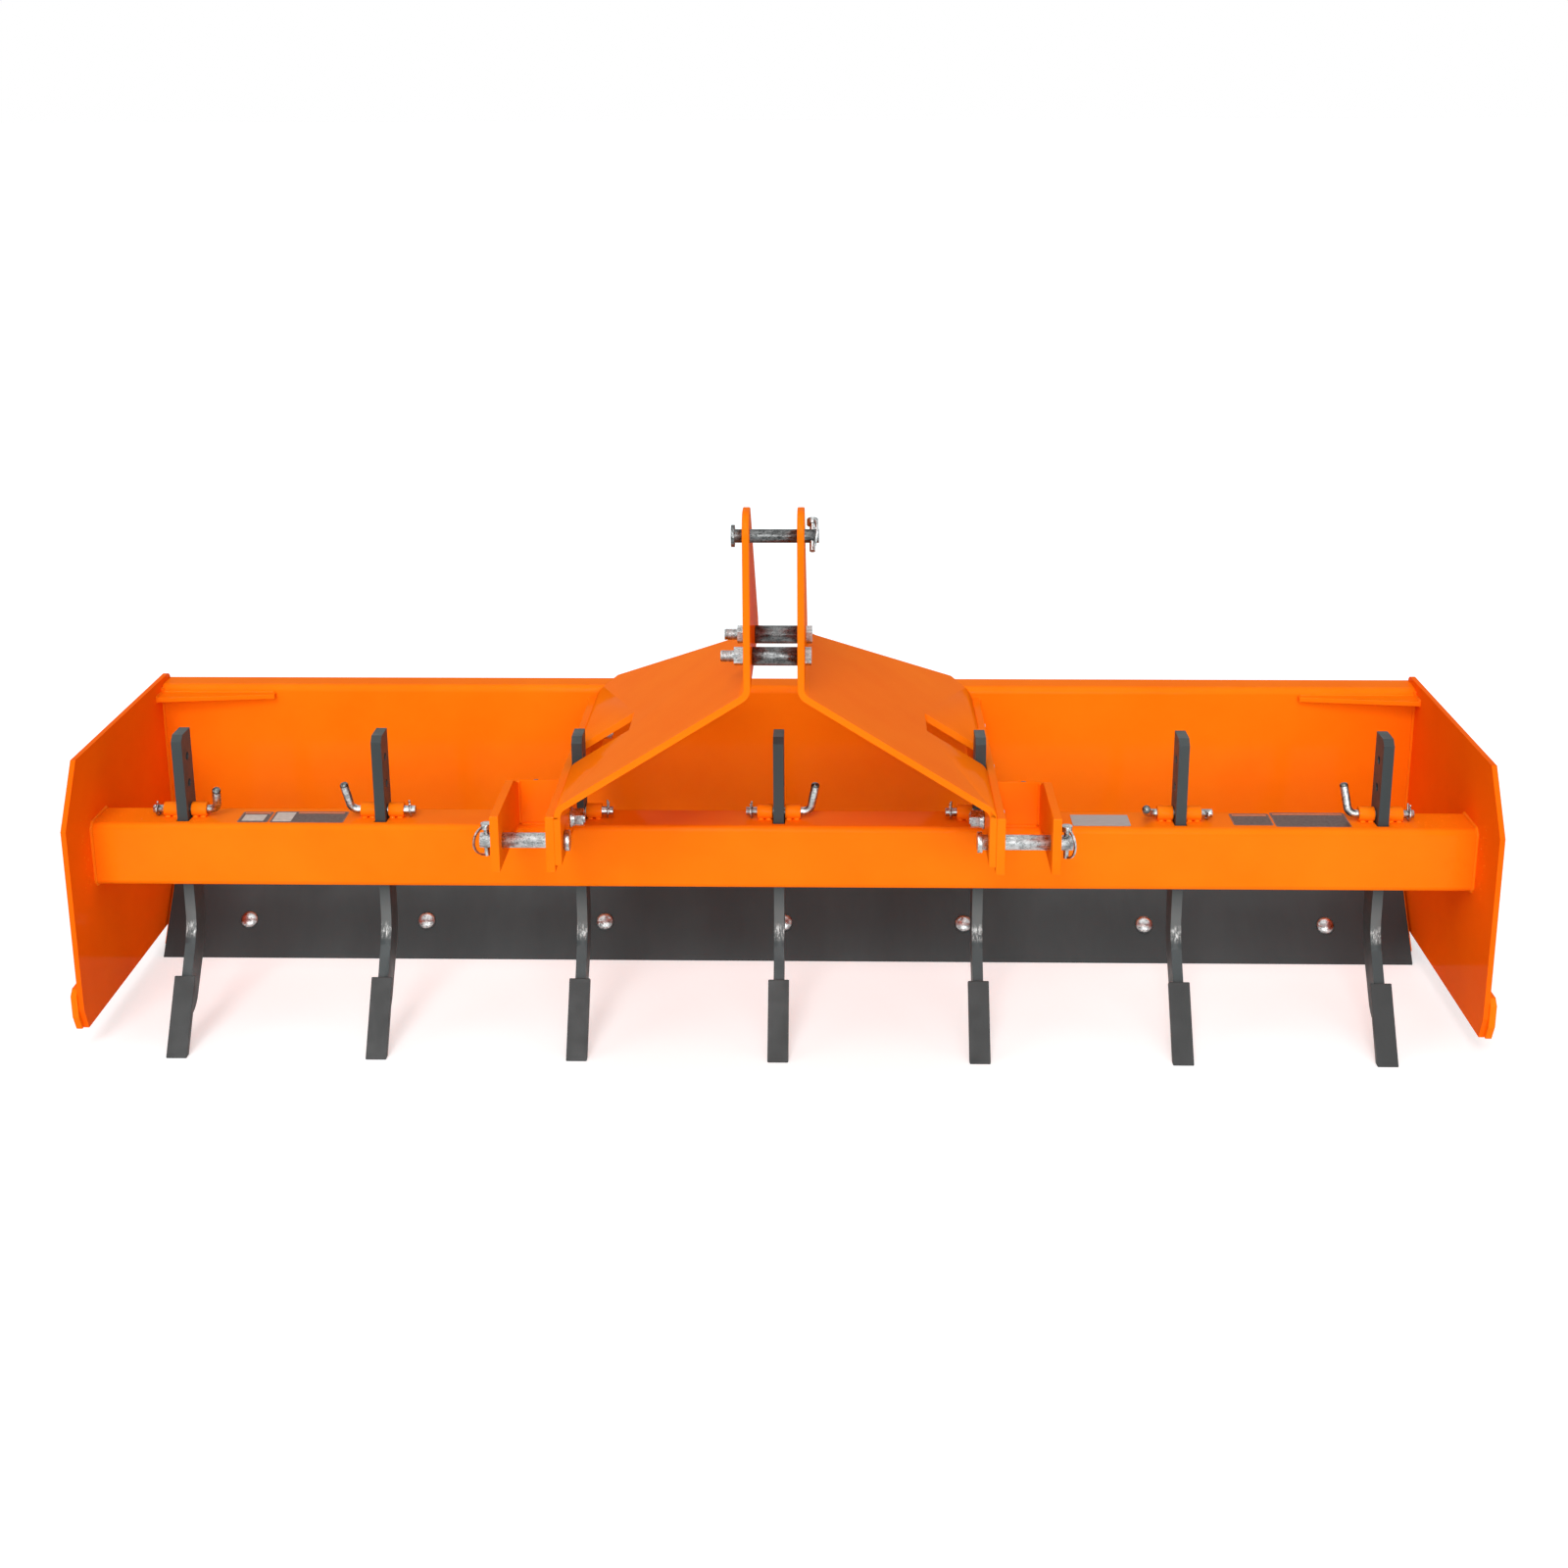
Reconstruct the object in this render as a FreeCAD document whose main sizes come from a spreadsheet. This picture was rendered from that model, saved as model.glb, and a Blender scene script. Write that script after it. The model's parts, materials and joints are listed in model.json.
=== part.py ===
import FreeCAD, Part
import os
import Sketcher

# Tractor box blade, seven-foot class, for a category 1 three-point hitch.
# Millimetres. X runs across the blade, -Y points at the tractor, Z up from the ground.
# Every outline is drawn from the tool bar's front face; each piece's Placement then
# moves it by bar_front_y, so that the origin is on the ground under the middle of the blade.

doc = FreeCAD.newDocument("tractor_box_blade")
sheet = doc.addObject("Spreadsheet::Sheet", "Sizes")

# Driving sizes: name, value, meaning
DRIVING = [
    ("bar_front_y", -118, "tool bar's front face in the part's frame"),
    ("inner_half", 1059, "middle of the blade to a side plate's inner face"),
    ("side_thick", 8, "side plate"),
    ("side_top", 455, "height of the side plate's top edge"),
    ("side_rear", 417, "side plate's rear edge behind the bar's front face"),
    ("side_shoulder_y", -30, "front end of the side plate's top edge"),
    ("side_nose_y", -94, "side plate's front edge"),
    ("side_nose_z", 364, "lower end of the slanted shoulder"),
    ("side_toe_z", 74, "lower end of the side plate's front edge"),
    ("side_toe", 13, "front end of its lower edge behind that"),
    ("side_corner", 14, "radius of the top rear corner"),
    ("shoe_thick", 10, "skid shoe"),
    ("shoe_bottom", 38, "height of the lower edge of shoe and side plate"),
    ("shoe_height", 69, "shoe, bottom to top"),
    ("shoe_lead", 3, "shoe ahead of the side plate"),
    ("shoe_corner", 8, "cut at the shoe's top front corner"),
    ("shoe_toe", 10, "cut at its bottom front corner, along the ground"),
    ("shoe_toe_rise", 24, "the same cut, up"),
    ("bar_depth", 76.2, "tool bar, front to rear"),
    ("bar_height", 101.6, "tool bar, bottom to top"),
    ("bar_wall", 6.35, "wall of the tool bar's tube"),
    ("bar_bottom", 238.4, "height of the tool bar's lower face"),
    ("bar_corner", 9, "outer corner radius of the tube"),
    ("mold_thick", 6.35, "moldboard sheet"),
    ("mold_face", 368, "moldboard's upright front face"),
    ("mold_top", 445.5, "height of the moldboard's top"),
    ("mold_flange", 48, "top flange, front to rear"),
    ("mold_curve", 56, "radius of the lower bend, on the front face"),
    ("mold_top_bend", 5, "inner radius of the top bend"),
    ("mold_rise", 28, "moldboard's lower edge above the cutting edge's, along the slope"),
    ("edge_gap", 5.3, "end of a cutting edge to the side plate"),
    ("edge_wide", 152.4, "front cutting edge, along its slope"),
    ("edge_thick", 12.7, "both cutting edges"),
    ("edge_slope", 49, "front cutting edge from level, degrees"),
    ("edge_toe_y", 244.4, "front cutting edge's toe"),
    ("rear_edge_wide", 101.6, "rear cutting edge, along its slope"),
    ("rear_slope", 75, "rear cutting edge from level, degrees"),
    ("rear_toe_y", 405, "rear cutting edge's toe"),
    ("rear_plate_thick", 8, "plate that carries the rear cutting edge"),
    ("rear_plate_rise", 25, "its lower edge above the toe, along the slope"),
    ("gusset_long", 196, "corner gusset along the moldboard"),
    ("gusset_deep", 34, "its depth at the side plate"),
    ("gusset_tip", 12, "its depth at the inner end"),
    ("gusset_thick", 8, "corner gusset"),
    ("gusset_drop", 12, "its top face under the moldboard's top"),
    ("shank_margin", 139.2, "middle of an outer shank to the side plate"),
    ("shank_thick", 16, "shank across"),
    ("shank_depth", 44.5, "shank, front to rear"),
    ("shank_top", 477, "height of the shanks' tops"),
    ("shank_bevel", 9, "cut at the top front corner"),
    ("shank_elbow", 90, "radius where the front face turns into the foot"),
    ("shank_heel_bend", 120, "radius where the rear face turns"),
    ("shank_sole_bend", 45, "radius under the foot"),
    ("shank_heel_z", 146, "height where the rear face turns"),
    ("shank_sole_y", -18, "rear corner under the foot"),
    ("shank_sole_z", 43, "height of that corner"),
    ("shank_nose_rise", 52, "foot's nose above the toe, along the point"),
    ("slot_clear", 1.5, "tool bar's slot round a shank, each side"),
    ("hole_pitch", 43.5, "from one pin hole in a shank to the next"),
    ("hole_clear", 0.1, "pin hole in a shank or plate, radius over the pin's"),
    ("point_wide", 32, "wear point across"),
    ("point_thick", 10, "wear point"),
    ("point_top_y", -36, "upper front edge of a wear point"),
    ("point_top_z", 104, "height of that edge"),
    ("point_toe_y", -106, "toe of a wear point"),
    ("pin_dia", 12.7, "shank pin"),
    ("pin_run", 0.08, "running clearance of a pin in its bushing, radius"),
    ("bushing_dia", 22.4, "pin bushing, outside"),
    ("bushing_long", 24, "pin bushing"),
    ("pin_gap", 3, "straight pin between the bushing and the bend"),
    ("pin_bend", 14, "radius of the handle's bend, on the pin's centre line"),
    ("pin_turn", 80, "turn of the handle's bend, degrees"),
    ("pin_handle", 34, "straight part of the handle"),
    ("pin_tail", 17, "pin beyond the other bushing"),
    ("clip_hole", 4.6, "hole for the hairpin clip"),
    ("hitch_front", -181, "front edges of the hitch plates and the mast"),
    ("hitch_gap", 2, "long hitch plate to the shank beside it"),
    ("hitch_thick", 12.7, "long hitch plates and ears"),
    ("hitch_top", 427, "height of their top edges"),
    ("ear_gap", 67.2, "room between a long plate and its ear"),
    ("ear_shoulder", 50, "length of the slope on the ear's top rear corner"),
    ("ear_rear_z", 404, "height of the ear's rear edge"),
    ("back_plate_y", 9, "back plate's front face"),
    ("back_plate_thick", 8, "back plate between ear and long plate"),
    ("back_plate_top", 412, "height of its top edge"),
    ("link_pin_y", -146, "axes of the three hitch pins"),
    ("low_pin_z", 377, "height of the lower hitch pins"),
    ("low_pin_dia", 22.2, "lower hitch pins"),
    ("mast_height", 455, "top hitch pin above the lower ones"),
    ("top_pin_dia", 19.05, "top hitch pin"),
    ("low_head_over", 8, "lower pin's head, diameter over the pin's"),
    ("low_head_thick", 7, "lower pin's head"),
    ("top_head_over", 12, "top pin's head, diameter over the pin's"),
    ("top_head_thick", 5, "top pin's head"),
    ("top_neck", 11, "top pin between its head and the mast"),
    ("low_neck_left", 1, "left lower pin between its head and the mast plate"),
    ("low_neck_right", 8, "the same on the right"),
    ("pin_end", 20, "hitch pin beyond its outer plate"),
    ("lynch_dia", 8, "lynch pin"),
    ("lynch_clear", 0.05, "its hole, radius over the pin's"),
    ("lynch_reach", 11, "from the outer plate to the lynch pin's axis"),
    ("lynch_ring", 22, "radius of the lynch pin's half ring"),
    ("lynch_wire", 3, "flat wire of the ring"),
    ("mast_thick", 10, "bent mast plates"),
    ("mast_half", 43, "middle to a mast plate's outer face"),
    ("mast_bend_z", 611.5, "height of the upper bend"),
    ("mast_low_lift", 11.5, "height of the lower bend over the long hitch plate"),
    ("mast_over", 38, "mast's top above the top pin"),
    ("mast_crown_y", -124, "rear end of the mast's top"),
    ("mast_crown", 28, "radius of the two top corners"),
    ("mast_knee_y", 126, "rear edge just above the upper bend"),
    ("mast_knee_lift", 26.5, "height of that corner over the bend"),
    ("mast_elbow_y", 144, "rear edge just below the upper bend"),
    ("mast_elbow_drop", 8, "height of that corner under the bend"),
    ("mast_tail_y", 388, "rear corner over the moldboard"),
    ("mast_tail_lift", 14.5, "height of that corner over the moldboard's top"),
    ("mast_heel_gap", 12, "flange's rear edge ahead of the moldboard"),
    ("mast_heel_drop", 9.5, "that corner's height under the moldboard's top"),
    ("mast_spare", 60, "how far the trimming cut reaches past the plate"),
    ("mast_bend", 14, "inner radius of both bends"),
    ("flange_lift", 12, "flange's lower edge above the tool bar"),
    ("mast_slot_side", 17, "mast slot beyond the shank, front and rear"),
    ("mast_slot_in", 224, "middle to the slot's inner end"),
    ("bolt_dia", 16, "mast and flange bolts"),
    ("mast_head", 9, "hexagon heads on the mast"),
    ("flange_head", 7, "hexagon heads beside the hitch plates"),
    ("bolt_hex", 24, "across the flats"),
    ("bolt_nut", 13, "nut"),
    ("bolt_washer", 3, "washer"),
    ("washer_dia", 30, "washer, outside"),
    ("spring_washer", 4, "spring washer on the flange bolts"),
    ("spring_dia", 26, "spring washer, outside"),
    ("mast_proud", 19, "thread beyond the nut on the mast"),
    ("flange_proud", 2, "thread beyond the nuts beside the hitch plates"),
    ("bolt_clear", 0.5, "bolt holes, radius over the bolt's"),
    ("spacer_dia", 27, "mast spacer tubes, outside"),
    ("spacer_z", 646, "height of the two spacers"),
    ("spacer_front_y", -109, "front spacer"),
    ("spacer_rear_y", 1, "rear spacer"),
    ("flange_bolt_z", 385, "height of the bolts through the flanges"),
    ("flange_bolt_y", -75, "first of those bolts"),
    ("flange_bolt_pitch", 195, "from one to the next"),
]

# Places that follow from the driving sizes
DERIVED = [
    ("bar_top", "=bar_bottom + bar_height"),
    ("bar_inner_low", "=bar_bottom + bar_wall"),
    ("bar_inner_high", "=bar_top - bar_wall"),
    ("bar_inner_rear", "=bar_depth - bar_wall"),
    ("bar_inner_corner", "=bar_corner - bar_wall"),
    ("bar_length", "=2 * inner_half"),
    ("reach", "=2 * inner_half"),
    ("side_outer", "=inner_half + side_thick"),
    ("shoe_outer", "=side_outer + shoe_thick"),
    ("shoe_front", "=side_nose_y - shoe_lead"),
    ("shoe_top", "=shoe_bottom + shoe_height"),
    ("shoe_corner_y", "=shoe_front + shoe_corner"),
    ("shoe_corner_z", "=shoe_top - shoe_corner"),
    ("shoe_toe_y", "=shoe_front + shoe_toe"),
    ("shoe_toe_z", "=shoe_bottom + shoe_toe_rise"),
    ("side_toe_y", "=side_nose_y + side_toe"),
    ("mold_seat_y", "=edge_toe_y + edge_thick * sin(edge_slope)"),
    ("mold_seat_z", "=-edge_thick * cos(edge_slope)"),
    ("mold_low_y", "=mold_seat_y + mold_rise * cos(edge_slope)"),
    ("mold_low_z", "=mold_seat_z + mold_rise * sin(edge_slope)"),
    ("mold_low_back_y", "=mold_low_y + mold_thick * sin(edge_slope)"),
    ("mold_low_back_z", "=mold_low_z - mold_thick * cos(edge_slope)"),
    ("mold_bend_z", "=mold_seat_z + (mold_face - mold_seat_y) * tan(edge_slope)"),
    ("mold_back", "=mold_face + mold_thick"),
    ("mold_bend_back_z", "=mold_bend_z - mold_thick * tan((90 - edge_slope) / 2)"),
    ("mold_flange_rear", "=mold_face + mold_flange"),
    ("mold_flange_under", "=mold_top - mold_thick"),
    ("mold_curve_back", "=mold_curve + mold_thick"),
    ("mold_top_outer", "=mold_top_bend + mold_thick"),
    ("edge_half", "=inner_half - edge_gap"),
    ("edge_length", "=2 * edge_half"),
    ("edge_bevel", "=edge_thick / tan(edge_slope)"),
    ("rear_bevel", "=edge_thick / tan(rear_slope)"),
    ("rear_turn", "=180 - rear_slope"),
    ("rear_plate_face", "=edge_thick + rear_plate_thick"),
    ("rear_foot_y", "=rear_toe_y - rear_plate_face * sin(rear_slope)"),
    ("rear_foot_z", "=-rear_plate_face * cos(rear_slope)"),
    ("mold_foot_y", "=mold_seat_y + mold_thick * sin(edge_slope)"),
    ("mold_foot_z", "=mold_seat_z - mold_thick * cos(edge_slope)"),
    ("rear_climb", "=mold_foot_z - rear_foot_z + (rear_foot_y - mold_foot_y) * tan(edge_slope)"),
    ("rear_share", "=sin(rear_slope) + cos(rear_slope) * tan(edge_slope)"),
    ("rear_plate_high", "=rear_climb / rear_share"),
    ("rear_back_y", "=rear_toe_y - edge_thick * sin(rear_slope)"),
    ("rear_back_z", "=-edge_thick * cos(rear_slope)"),
    ("rear_back_climb", "=mold_foot_z - rear_back_z + (rear_back_y - mold_foot_y) * tan(edge_slope)"),
    ("rear_plate_back", "=rear_back_climb / rear_share"),
    ("gusset_top", "=mold_top - gusset_drop"),
    ("gusset_under", "=gusset_top - gusset_thick"),
    ("gusset_inner", "=inner_half - gusset_long"),
    ("gusset_front", "=mold_face - gusset_deep"),
    ("gusset_tip_y", "=mold_face - gusset_tip"),
    ("pin_y", "=bar_depth / 2"),
    ("pin_z", "=bar_top + bushing_dia / 2"),
    ("pin_radius", "=pin_dia / 2"),
    ("bushing_radius", "=bushing_dia / 2"),
    ("bushing_bore", "=pin_radius + pin_run"),
    ("shank_hole", "=pin_radius + hole_clear"),
    ("hole_two_z", "=pin_z + hole_pitch"),
    ("hole_three_z", "=pin_z + 2 * hole_pitch"),
    ("shank_face", "=pin_y - shank_depth / 2"),
    ("shank_back", "=pin_y + shank_depth / 2"),
    ("shank_half", "=shank_thick / 2"),
    ("slot_half", "=shank_half + slot_clear"),
    ("slot_front", "=shank_face - slot_clear"),
    ("slot_rear", "=shank_back + slot_clear"),
    ("shank_pitch", "=(inner_half - shank_margin) / 3"),
    ("shank_span", "=6 * shank_pitch"),
    ("first_shank_x", "=-3 * shank_pitch"),
    ("bar_slot_left", "=inner_half + first_shank_x - slot_half"),
    ("bar_slot_right", "=inner_half + first_shank_x + slot_half"),
    ("point_run", "=point_top_y - point_toe_y"),
    ("point_long", "=sqrt(point_run ^ 2 + point_top_z ^ 2)"),
    ("point_back_y", "=point_top_y + point_thick * point_top_z / point_long"),
    ("point_back_z", "=point_top_z - point_thick * point_run / point_long"),
    ("point_heel_y", "=point_toe_y + point_thick * point_long / point_top_z"),
    ("point_half", "=point_wide / 2"),
    ("shank_elbow_z", "=point_back_z + (shank_face - point_back_y) * point_top_z / point_run"),
    ("foot_share", "=1 - shank_nose_rise / point_long"),
    ("foot_nose_y", "=point_back_y - foot_share * point_run"),
    ("foot_nose_z", "=point_back_z - foot_share * point_top_z"),
    ("hitch_inner", "=shank_pitch + shank_half + hitch_gap"),
    ("hitch_outer", "=hitch_inner + hitch_thick"),
    ("ear_inner", "=hitch_outer + ear_gap"),
    ("ear_outer", "=ear_inner + hitch_thick"),
    ("ear_rear", "=back_plate_y + back_plate_thick"),
    ("ear_slope_y", "=ear_rear - ear_shoulder"),
    ("low_pin_radius", "=low_pin_dia / 2"),
    ("low_pin_bore", "=low_pin_radius + pin_run"),
    ("top_pin_z", "=low_pin_z + mast_height"),
    ("top_pin_radius", "=top_pin_dia / 2"),
    ("top_pin_bore", "=top_pin_radius + pin_run"),
    ("mast_top", "=top_pin_z + mast_over"),
    ("mast_inner", "=mast_half - mast_thick"),
    ("flange_inner", "=hitch_inner - mast_thick"),
    ("mast_low_z", "=hitch_top + mast_low_lift"),
    ("mast_slope", "=atan((mast_bend_z - mast_low_z) / (hitch_inner - mast_half)) / 1 deg"),
    ("mast_drop", "=mast_thick * tan((90 - mast_slope) / 2)"),
    ("mast_knee_z", "=mast_bend_z + mast_knee_lift"),
    ("mast_elbow_z", "=mast_bend_z - mast_elbow_drop"),
    ("mast_tail_z", "=mold_top + mast_tail_lift"),
    ("mast_heel_z", "=mold_top - mast_heel_drop"),
    ("mast_low_in_z", "=mast_low_z - mast_drop"),
    ("mast_bend_in_z", "=mast_bend_z - mast_drop"),
    ("mast_outer_bend", "=mast_bend + mast_thick"),
    ("mast_band_long", "=mast_tail_y - hitch_front"),
    ("mast_heel_y", "=mold_face - mast_heel_gap"),
    ("mast_beyond_y", "=mast_tail_y + mast_spare"),
    ("mast_beyond_z", "=mast_top + mast_spare"),
    ("flange_bottom", "=bar_top + flange_lift"),
    ("mast_slot_front", "=slot_front - mast_slot_side"),
    ("mast_slot_rear", "=slot_rear + mast_slot_side"),
    ("mast_slot_out", "=hitch_outer"),
    ("bolt_radius", "=bolt_dia / 2"),
    ("bolt_hole", "=bolt_radius + bolt_clear"),
    ("bolt_corner", "=bolt_hex / sqrt(3)"),
    ("spacer_radius", "=spacer_dia / 2"),
    ("spacer_long", "=2 * mast_inner"),
    ("flange_bolt_two", "=flange_bolt_y + flange_bolt_pitch"),
    ("flange_bolt_three", "=flange_bolt_y + 2 * flange_bolt_pitch"),
    ("clip_radius", "=clip_hole / 2"),
    ("lynch_radius", "=lynch_dia / 2"),
    ("lynch_hole", "=lynch_radius + lynch_clear"),
]

# Shanks and their pins, left to right: place in pitches from the middle, side of the
# pin's handle (-1 left, 1 right), and how far the handle leans forward, degrees
SHANKS = [
    (-3, 1, 30),
    (-2, -1, 12),
    (-1, -1, -8),
    (0, 1, 5),
    (1, 1, -8),
    (2, -1, 62),
    (3, -1, -10),
]

SIDES = [("left", -1), ("right", 1)]

# Hitch pins: name, side of the far end, the cells of its radius, first and last plate face,
# height, head and neck, then the lynch pin's lean about the hitch pin and its ring's turn
HITCH_PINS = [
    ("lower_left", -1, "low_pin_radius", "flange_inner", "ear_outer", "low_pin_z",
     "low_head_over", "low_head_thick", "low_neck_left", 0, 42),
    ("lower_right", 1, "low_pin_radius", "flange_inner", "ear_outer", "low_pin_z",
     "low_head_over", "low_head_thick", "low_neck_right", 0, -62),
    ("top", 1, "top_pin_radius", "-mast_half", "mast_half", "top_pin_z",
     "top_head_over", "top_head_thick", "top_neck", -42, -72),
]


def fill_sheet():
    row = 1
    for name, value, meaning in DRIVING:
        sheet.set("A%d" % row, meaning)
        sheet.set("B%d" % row, str(value))
        sheet.setAlias("B%d" % row, name)
        row += 1
    for name, formula in DERIVED:
        sheet.set("B%d" % row, formula)
        sheet.setAlias("B%d" % row, name)
        row += 1
    doc.recompute()


def number(name):
    """A cell's value; a leading minus turns its sign, and zero is nought."""
    if name == "zero":
        return 0.0
    if name.startswith("-"):
        return -number(name[1:])
    return float(sheet.get(name))


def cell(name):
    """The same as an expression."""
    if name == "zero":
        return "0"
    if name.startswith("-"):
        return "-Sizes." + name[1:]
    return "Sizes." + name


def sided(name, side):
    """A cell's name with the sign of the blade's side."""
    return name if side > 0 else "-" + name


def place(item, x="zero", y="bar_front_y", z="zero"):
    for axis, name in (("x", x), ("y", y), ("z", z)):
        item.setExpression("Placement.Base." + axis, name if "Sizes." in name else cell(name))


def new_body(label):
    body = doc.addObject("PartDesign::Body", label)
    body.Label = label
    body.AllowCompound = True
    return body


def origin_item(body, role):
    return [item for item in body.Origin.OriginFeatures if item.Role == role][0]


def new_sketch(body, role, lift=None):
    """A sketch on one of the body's own planes, lifted along the plane's normal."""
    sketch = body.newObject("Sketcher::SketchObject", body.Name + "_sketch")
    sketch.AttachmentSupport = [(origin_item(body, role), "")]
    sketch.MapMode = "FlatFace"
    if lift:
        sketch.setExpression("AttachmentOffset.Base.z", cell(lift))
    return sketch


def pin_down(sketch, item, point, across, up):
    """Fix one point of a sketch's item by its two cells."""
    for kind, name in (("DistanceX", across), ("DistanceY", up)):
        rule = Sketcher.Constraint(kind, -1, 1, item, point, number(name))
        index = sketch.addConstraint(rule)
        sketch.setExpression("Constraints[%d]" % index, cell(name))


def polygon(sketch, corners):
    """A closed outline through corners, each a pair of cells."""
    first = sketch.GeometryCount
    count = len(corners)
    spots = [FreeCAD.Vector(number(a), number(b), 0) for a, b in corners]
    for i in range(count):
        sketch.addGeometry(Part.LineSegment(spots[i], spots[(i + 1) % count]), False)
    for i in range(count):
        sketch.addConstraint(Sketcher.Constraint("Coincident", first + i, 2, first + (i + 1) % count, 1))
    for i in range(count):
        pin_down(sketch, first + i, 1, corners[i][0], corners[i][1])


def circle(sketch, across, up, radius):
    spot = FreeCAD.Vector(number(across), number(up), 0)
    item = sketch.addGeometry(Part.Circle(spot, FreeCAD.Vector(0, 0, 1), number(radius)), False)
    pin_down(sketch, item, 3, across, up)
    index = sketch.addConstraint(Sketcher.Constraint("Radius", item, number(radius)))
    sketch.setExpression("Constraints[%d]" % index, cell(radius))


def pad(body, sketch, length, back=False):
    feature = body.newObject("PartDesign::Pad", body.Name + "_pad")
    feature.Profile = sketch
    feature.Reversed = back
    feature.setExpression("Length", cell(length))
    doc.recompute()
    return feature


def pocket(body, sketch, length="reach"):
    """Cut the sketch's outline both ways from its plane."""
    before = body.Shape.Volume
    feature = body.newObject("PartDesign::Pocket", body.Name + "_pocket")
    feature.Profile = sketch
    feature.Midplane = True
    feature.setExpression("Length", "2 * " + cell(length))
    doc.recompute()
    if body.Shape.Volume > before - 0.01:
        raise RuntimeError("a pocket cuts nothing in " + body.Label)
    return feature


def straight_edges(shape, axis, spots):
    """Names of the straight edges along an axis that pass through the given spots."""
    others = [i for i in range(3) if i != axis]
    names = []
    for i, edge in enumerate(shape.Edges):
        if len(edge.Vertexes) < 2:
            continue
        start, end = edge.Vertexes[0].Point, edge.Vertexes[-1].Point
        along = end - start
        if abs(abs(along[axis]) - edge.Length) > 1e-6:
            continue
        for spot in spots:
            if all(abs(start[k] - value) < 0.01 for k, value in zip(others, spot)):
                names.append("Edge%d" % (i + 1))
                break
    return names


def round_edges(body, axis, corners, radius, kind="Fillet"):
    """Round or bevel the edges along an axis at corners, each a pair of cells."""
    spots = [(number(a), number(b)) for a, b in corners]
    base = body.Tip
    names = straight_edges(base.Shape, axis, spots)
    if len(names) < len(spots):
        raise RuntimeError("an edge to round is missing in " + body.Label)
    feature = body.newObject("PartDesign::" + kind, body.Name + "_" + kind.lower())
    feature.Base = (base, names)
    feature.setExpression("Radius" if kind == "Fillet" else "Size", cell(radius))
    doc.recompute()
    return feature


def repeat(body, feature, axis, length, count):
    pattern = body.newObject("PartDesign::LinearPattern", body.Name + "_pattern")
    pattern.Originals = [feature]
    pattern.Direction = (origin_item(body, axis), [""])
    pattern.setExpression("Length", cell(length))
    pattern.Occurrences = count
    body.Tip = pattern
    doc.recompute()
    return pattern


def primitive(kind, name, sizes, base=(0, 0, 0), turn=None):
    """One of Part's primitives; a size or a coordinate is an expression or a number."""
    item = doc.addObject("Part::" + kind, name)
    if turn:
        item.Placement = FreeCAD.Placement(FreeCAD.Vector(), FreeCAD.Rotation(*turn))
    for key, text in sizes.items():
        if isinstance(text, str):
            item.setExpression(key, text)
        else:
            setattr(item, key, text)
    for axis, text in zip("xyz", base):
        if isinstance(text, str):
            item.setExpression("Placement.Base." + axis, text)
    return item


def union(label, items):
    joined = doc.addObject("Part::MultiFuse", label)
    joined.Shapes = items
    joined.Label = label
    return joined


# Rotations that lay a primitive's own Z axis along X, to the right or to the left
ALONG_X = (FreeCAD.Vector(0, 1, 0), 90)
AGAINST_X = (FreeCAD.Vector(0, 1, 0), -90)
# Rotations that stand a ring on edge, its sweep starting at the bottom and going right or left
BEND_RIGHT = FreeCAD.Rotation(0, 90, 90)
BEND_LEFT = FreeCAD.Rotation(180, 90, 90)


def side_plate(name, side):
    body = new_body("side_plate_" + name)
    outline = new_sketch(body, "YZ_Plane")
    polygon(outline, [
        ("side_nose_y", "side_toe_z"),
        ("side_toe_y", "shoe_bottom"),
        ("side_rear", "shoe_bottom"),
        ("side_rear", "side_top"),
        ("side_shoulder_y", "side_top"),
        ("side_nose_y", "side_nose_z"),
    ])
    pad(body, outline, "side_thick")
    round_edges(body, 0, [("side_rear", "side_top")], "side_corner")
    place(body, "inner_half" if side > 0 else "-side_outer")
    return body


def skid_shoe(name, side):
    body = new_body("skid_shoe_" + name)
    outline = new_sketch(body, "YZ_Plane")
    polygon(outline, [
        ("shoe_toe_y", "shoe_bottom"),
        ("side_rear", "shoe_bottom"),
        ("side_rear", "shoe_top"),
        ("shoe_corner_y", "shoe_top"),
        ("shoe_front", "shoe_corner_z"),
        ("shoe_front", "shoe_toe_z"),
    ])
    pad(body, outline, "shoe_thick")
    place(body, "side_outer" if side > 0 else "-shoe_outer")
    return body


def tool_bar():
    """Rectangular tube between the side plates, slotted top and bottom for the shanks."""
    body = new_body("tool_bar")
    section = new_sketch(body, "YZ_Plane")
    outer = [
        ("zero", "bar_bottom"),
        ("bar_depth", "bar_bottom"),
        ("bar_depth", "bar_top"),
        ("zero", "bar_top"),
    ]
    inner = [
        ("bar_wall", "bar_inner_low"),
        ("bar_inner_rear", "bar_inner_low"),
        ("bar_inner_rear", "bar_inner_high"),
        ("bar_wall", "bar_inner_high"),
    ]
    polygon(section, outer)
    polygon(section, inner)
    pad(body, section, "bar_length")
    round_edges(body, 0, outer, "bar_corner")
    round_edges(body, 0, inner, "bar_inner_corner")
    slot = new_sketch(body, "XY_Plane")
    # the body starts at the left side plate, so its own X counts from there
    polygon(slot, [
        ("bar_slot_left", "slot_front"),
        ("bar_slot_right", "slot_front"),
        ("bar_slot_right", "slot_rear"),
        ("bar_slot_left", "slot_rear"),
    ])
    cut = pocket(body, slot)
    repeat(body, cut, "X_Axis", "shank_span", len(SHANKS))
    place(body, "-inner_half")
    return body


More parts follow.
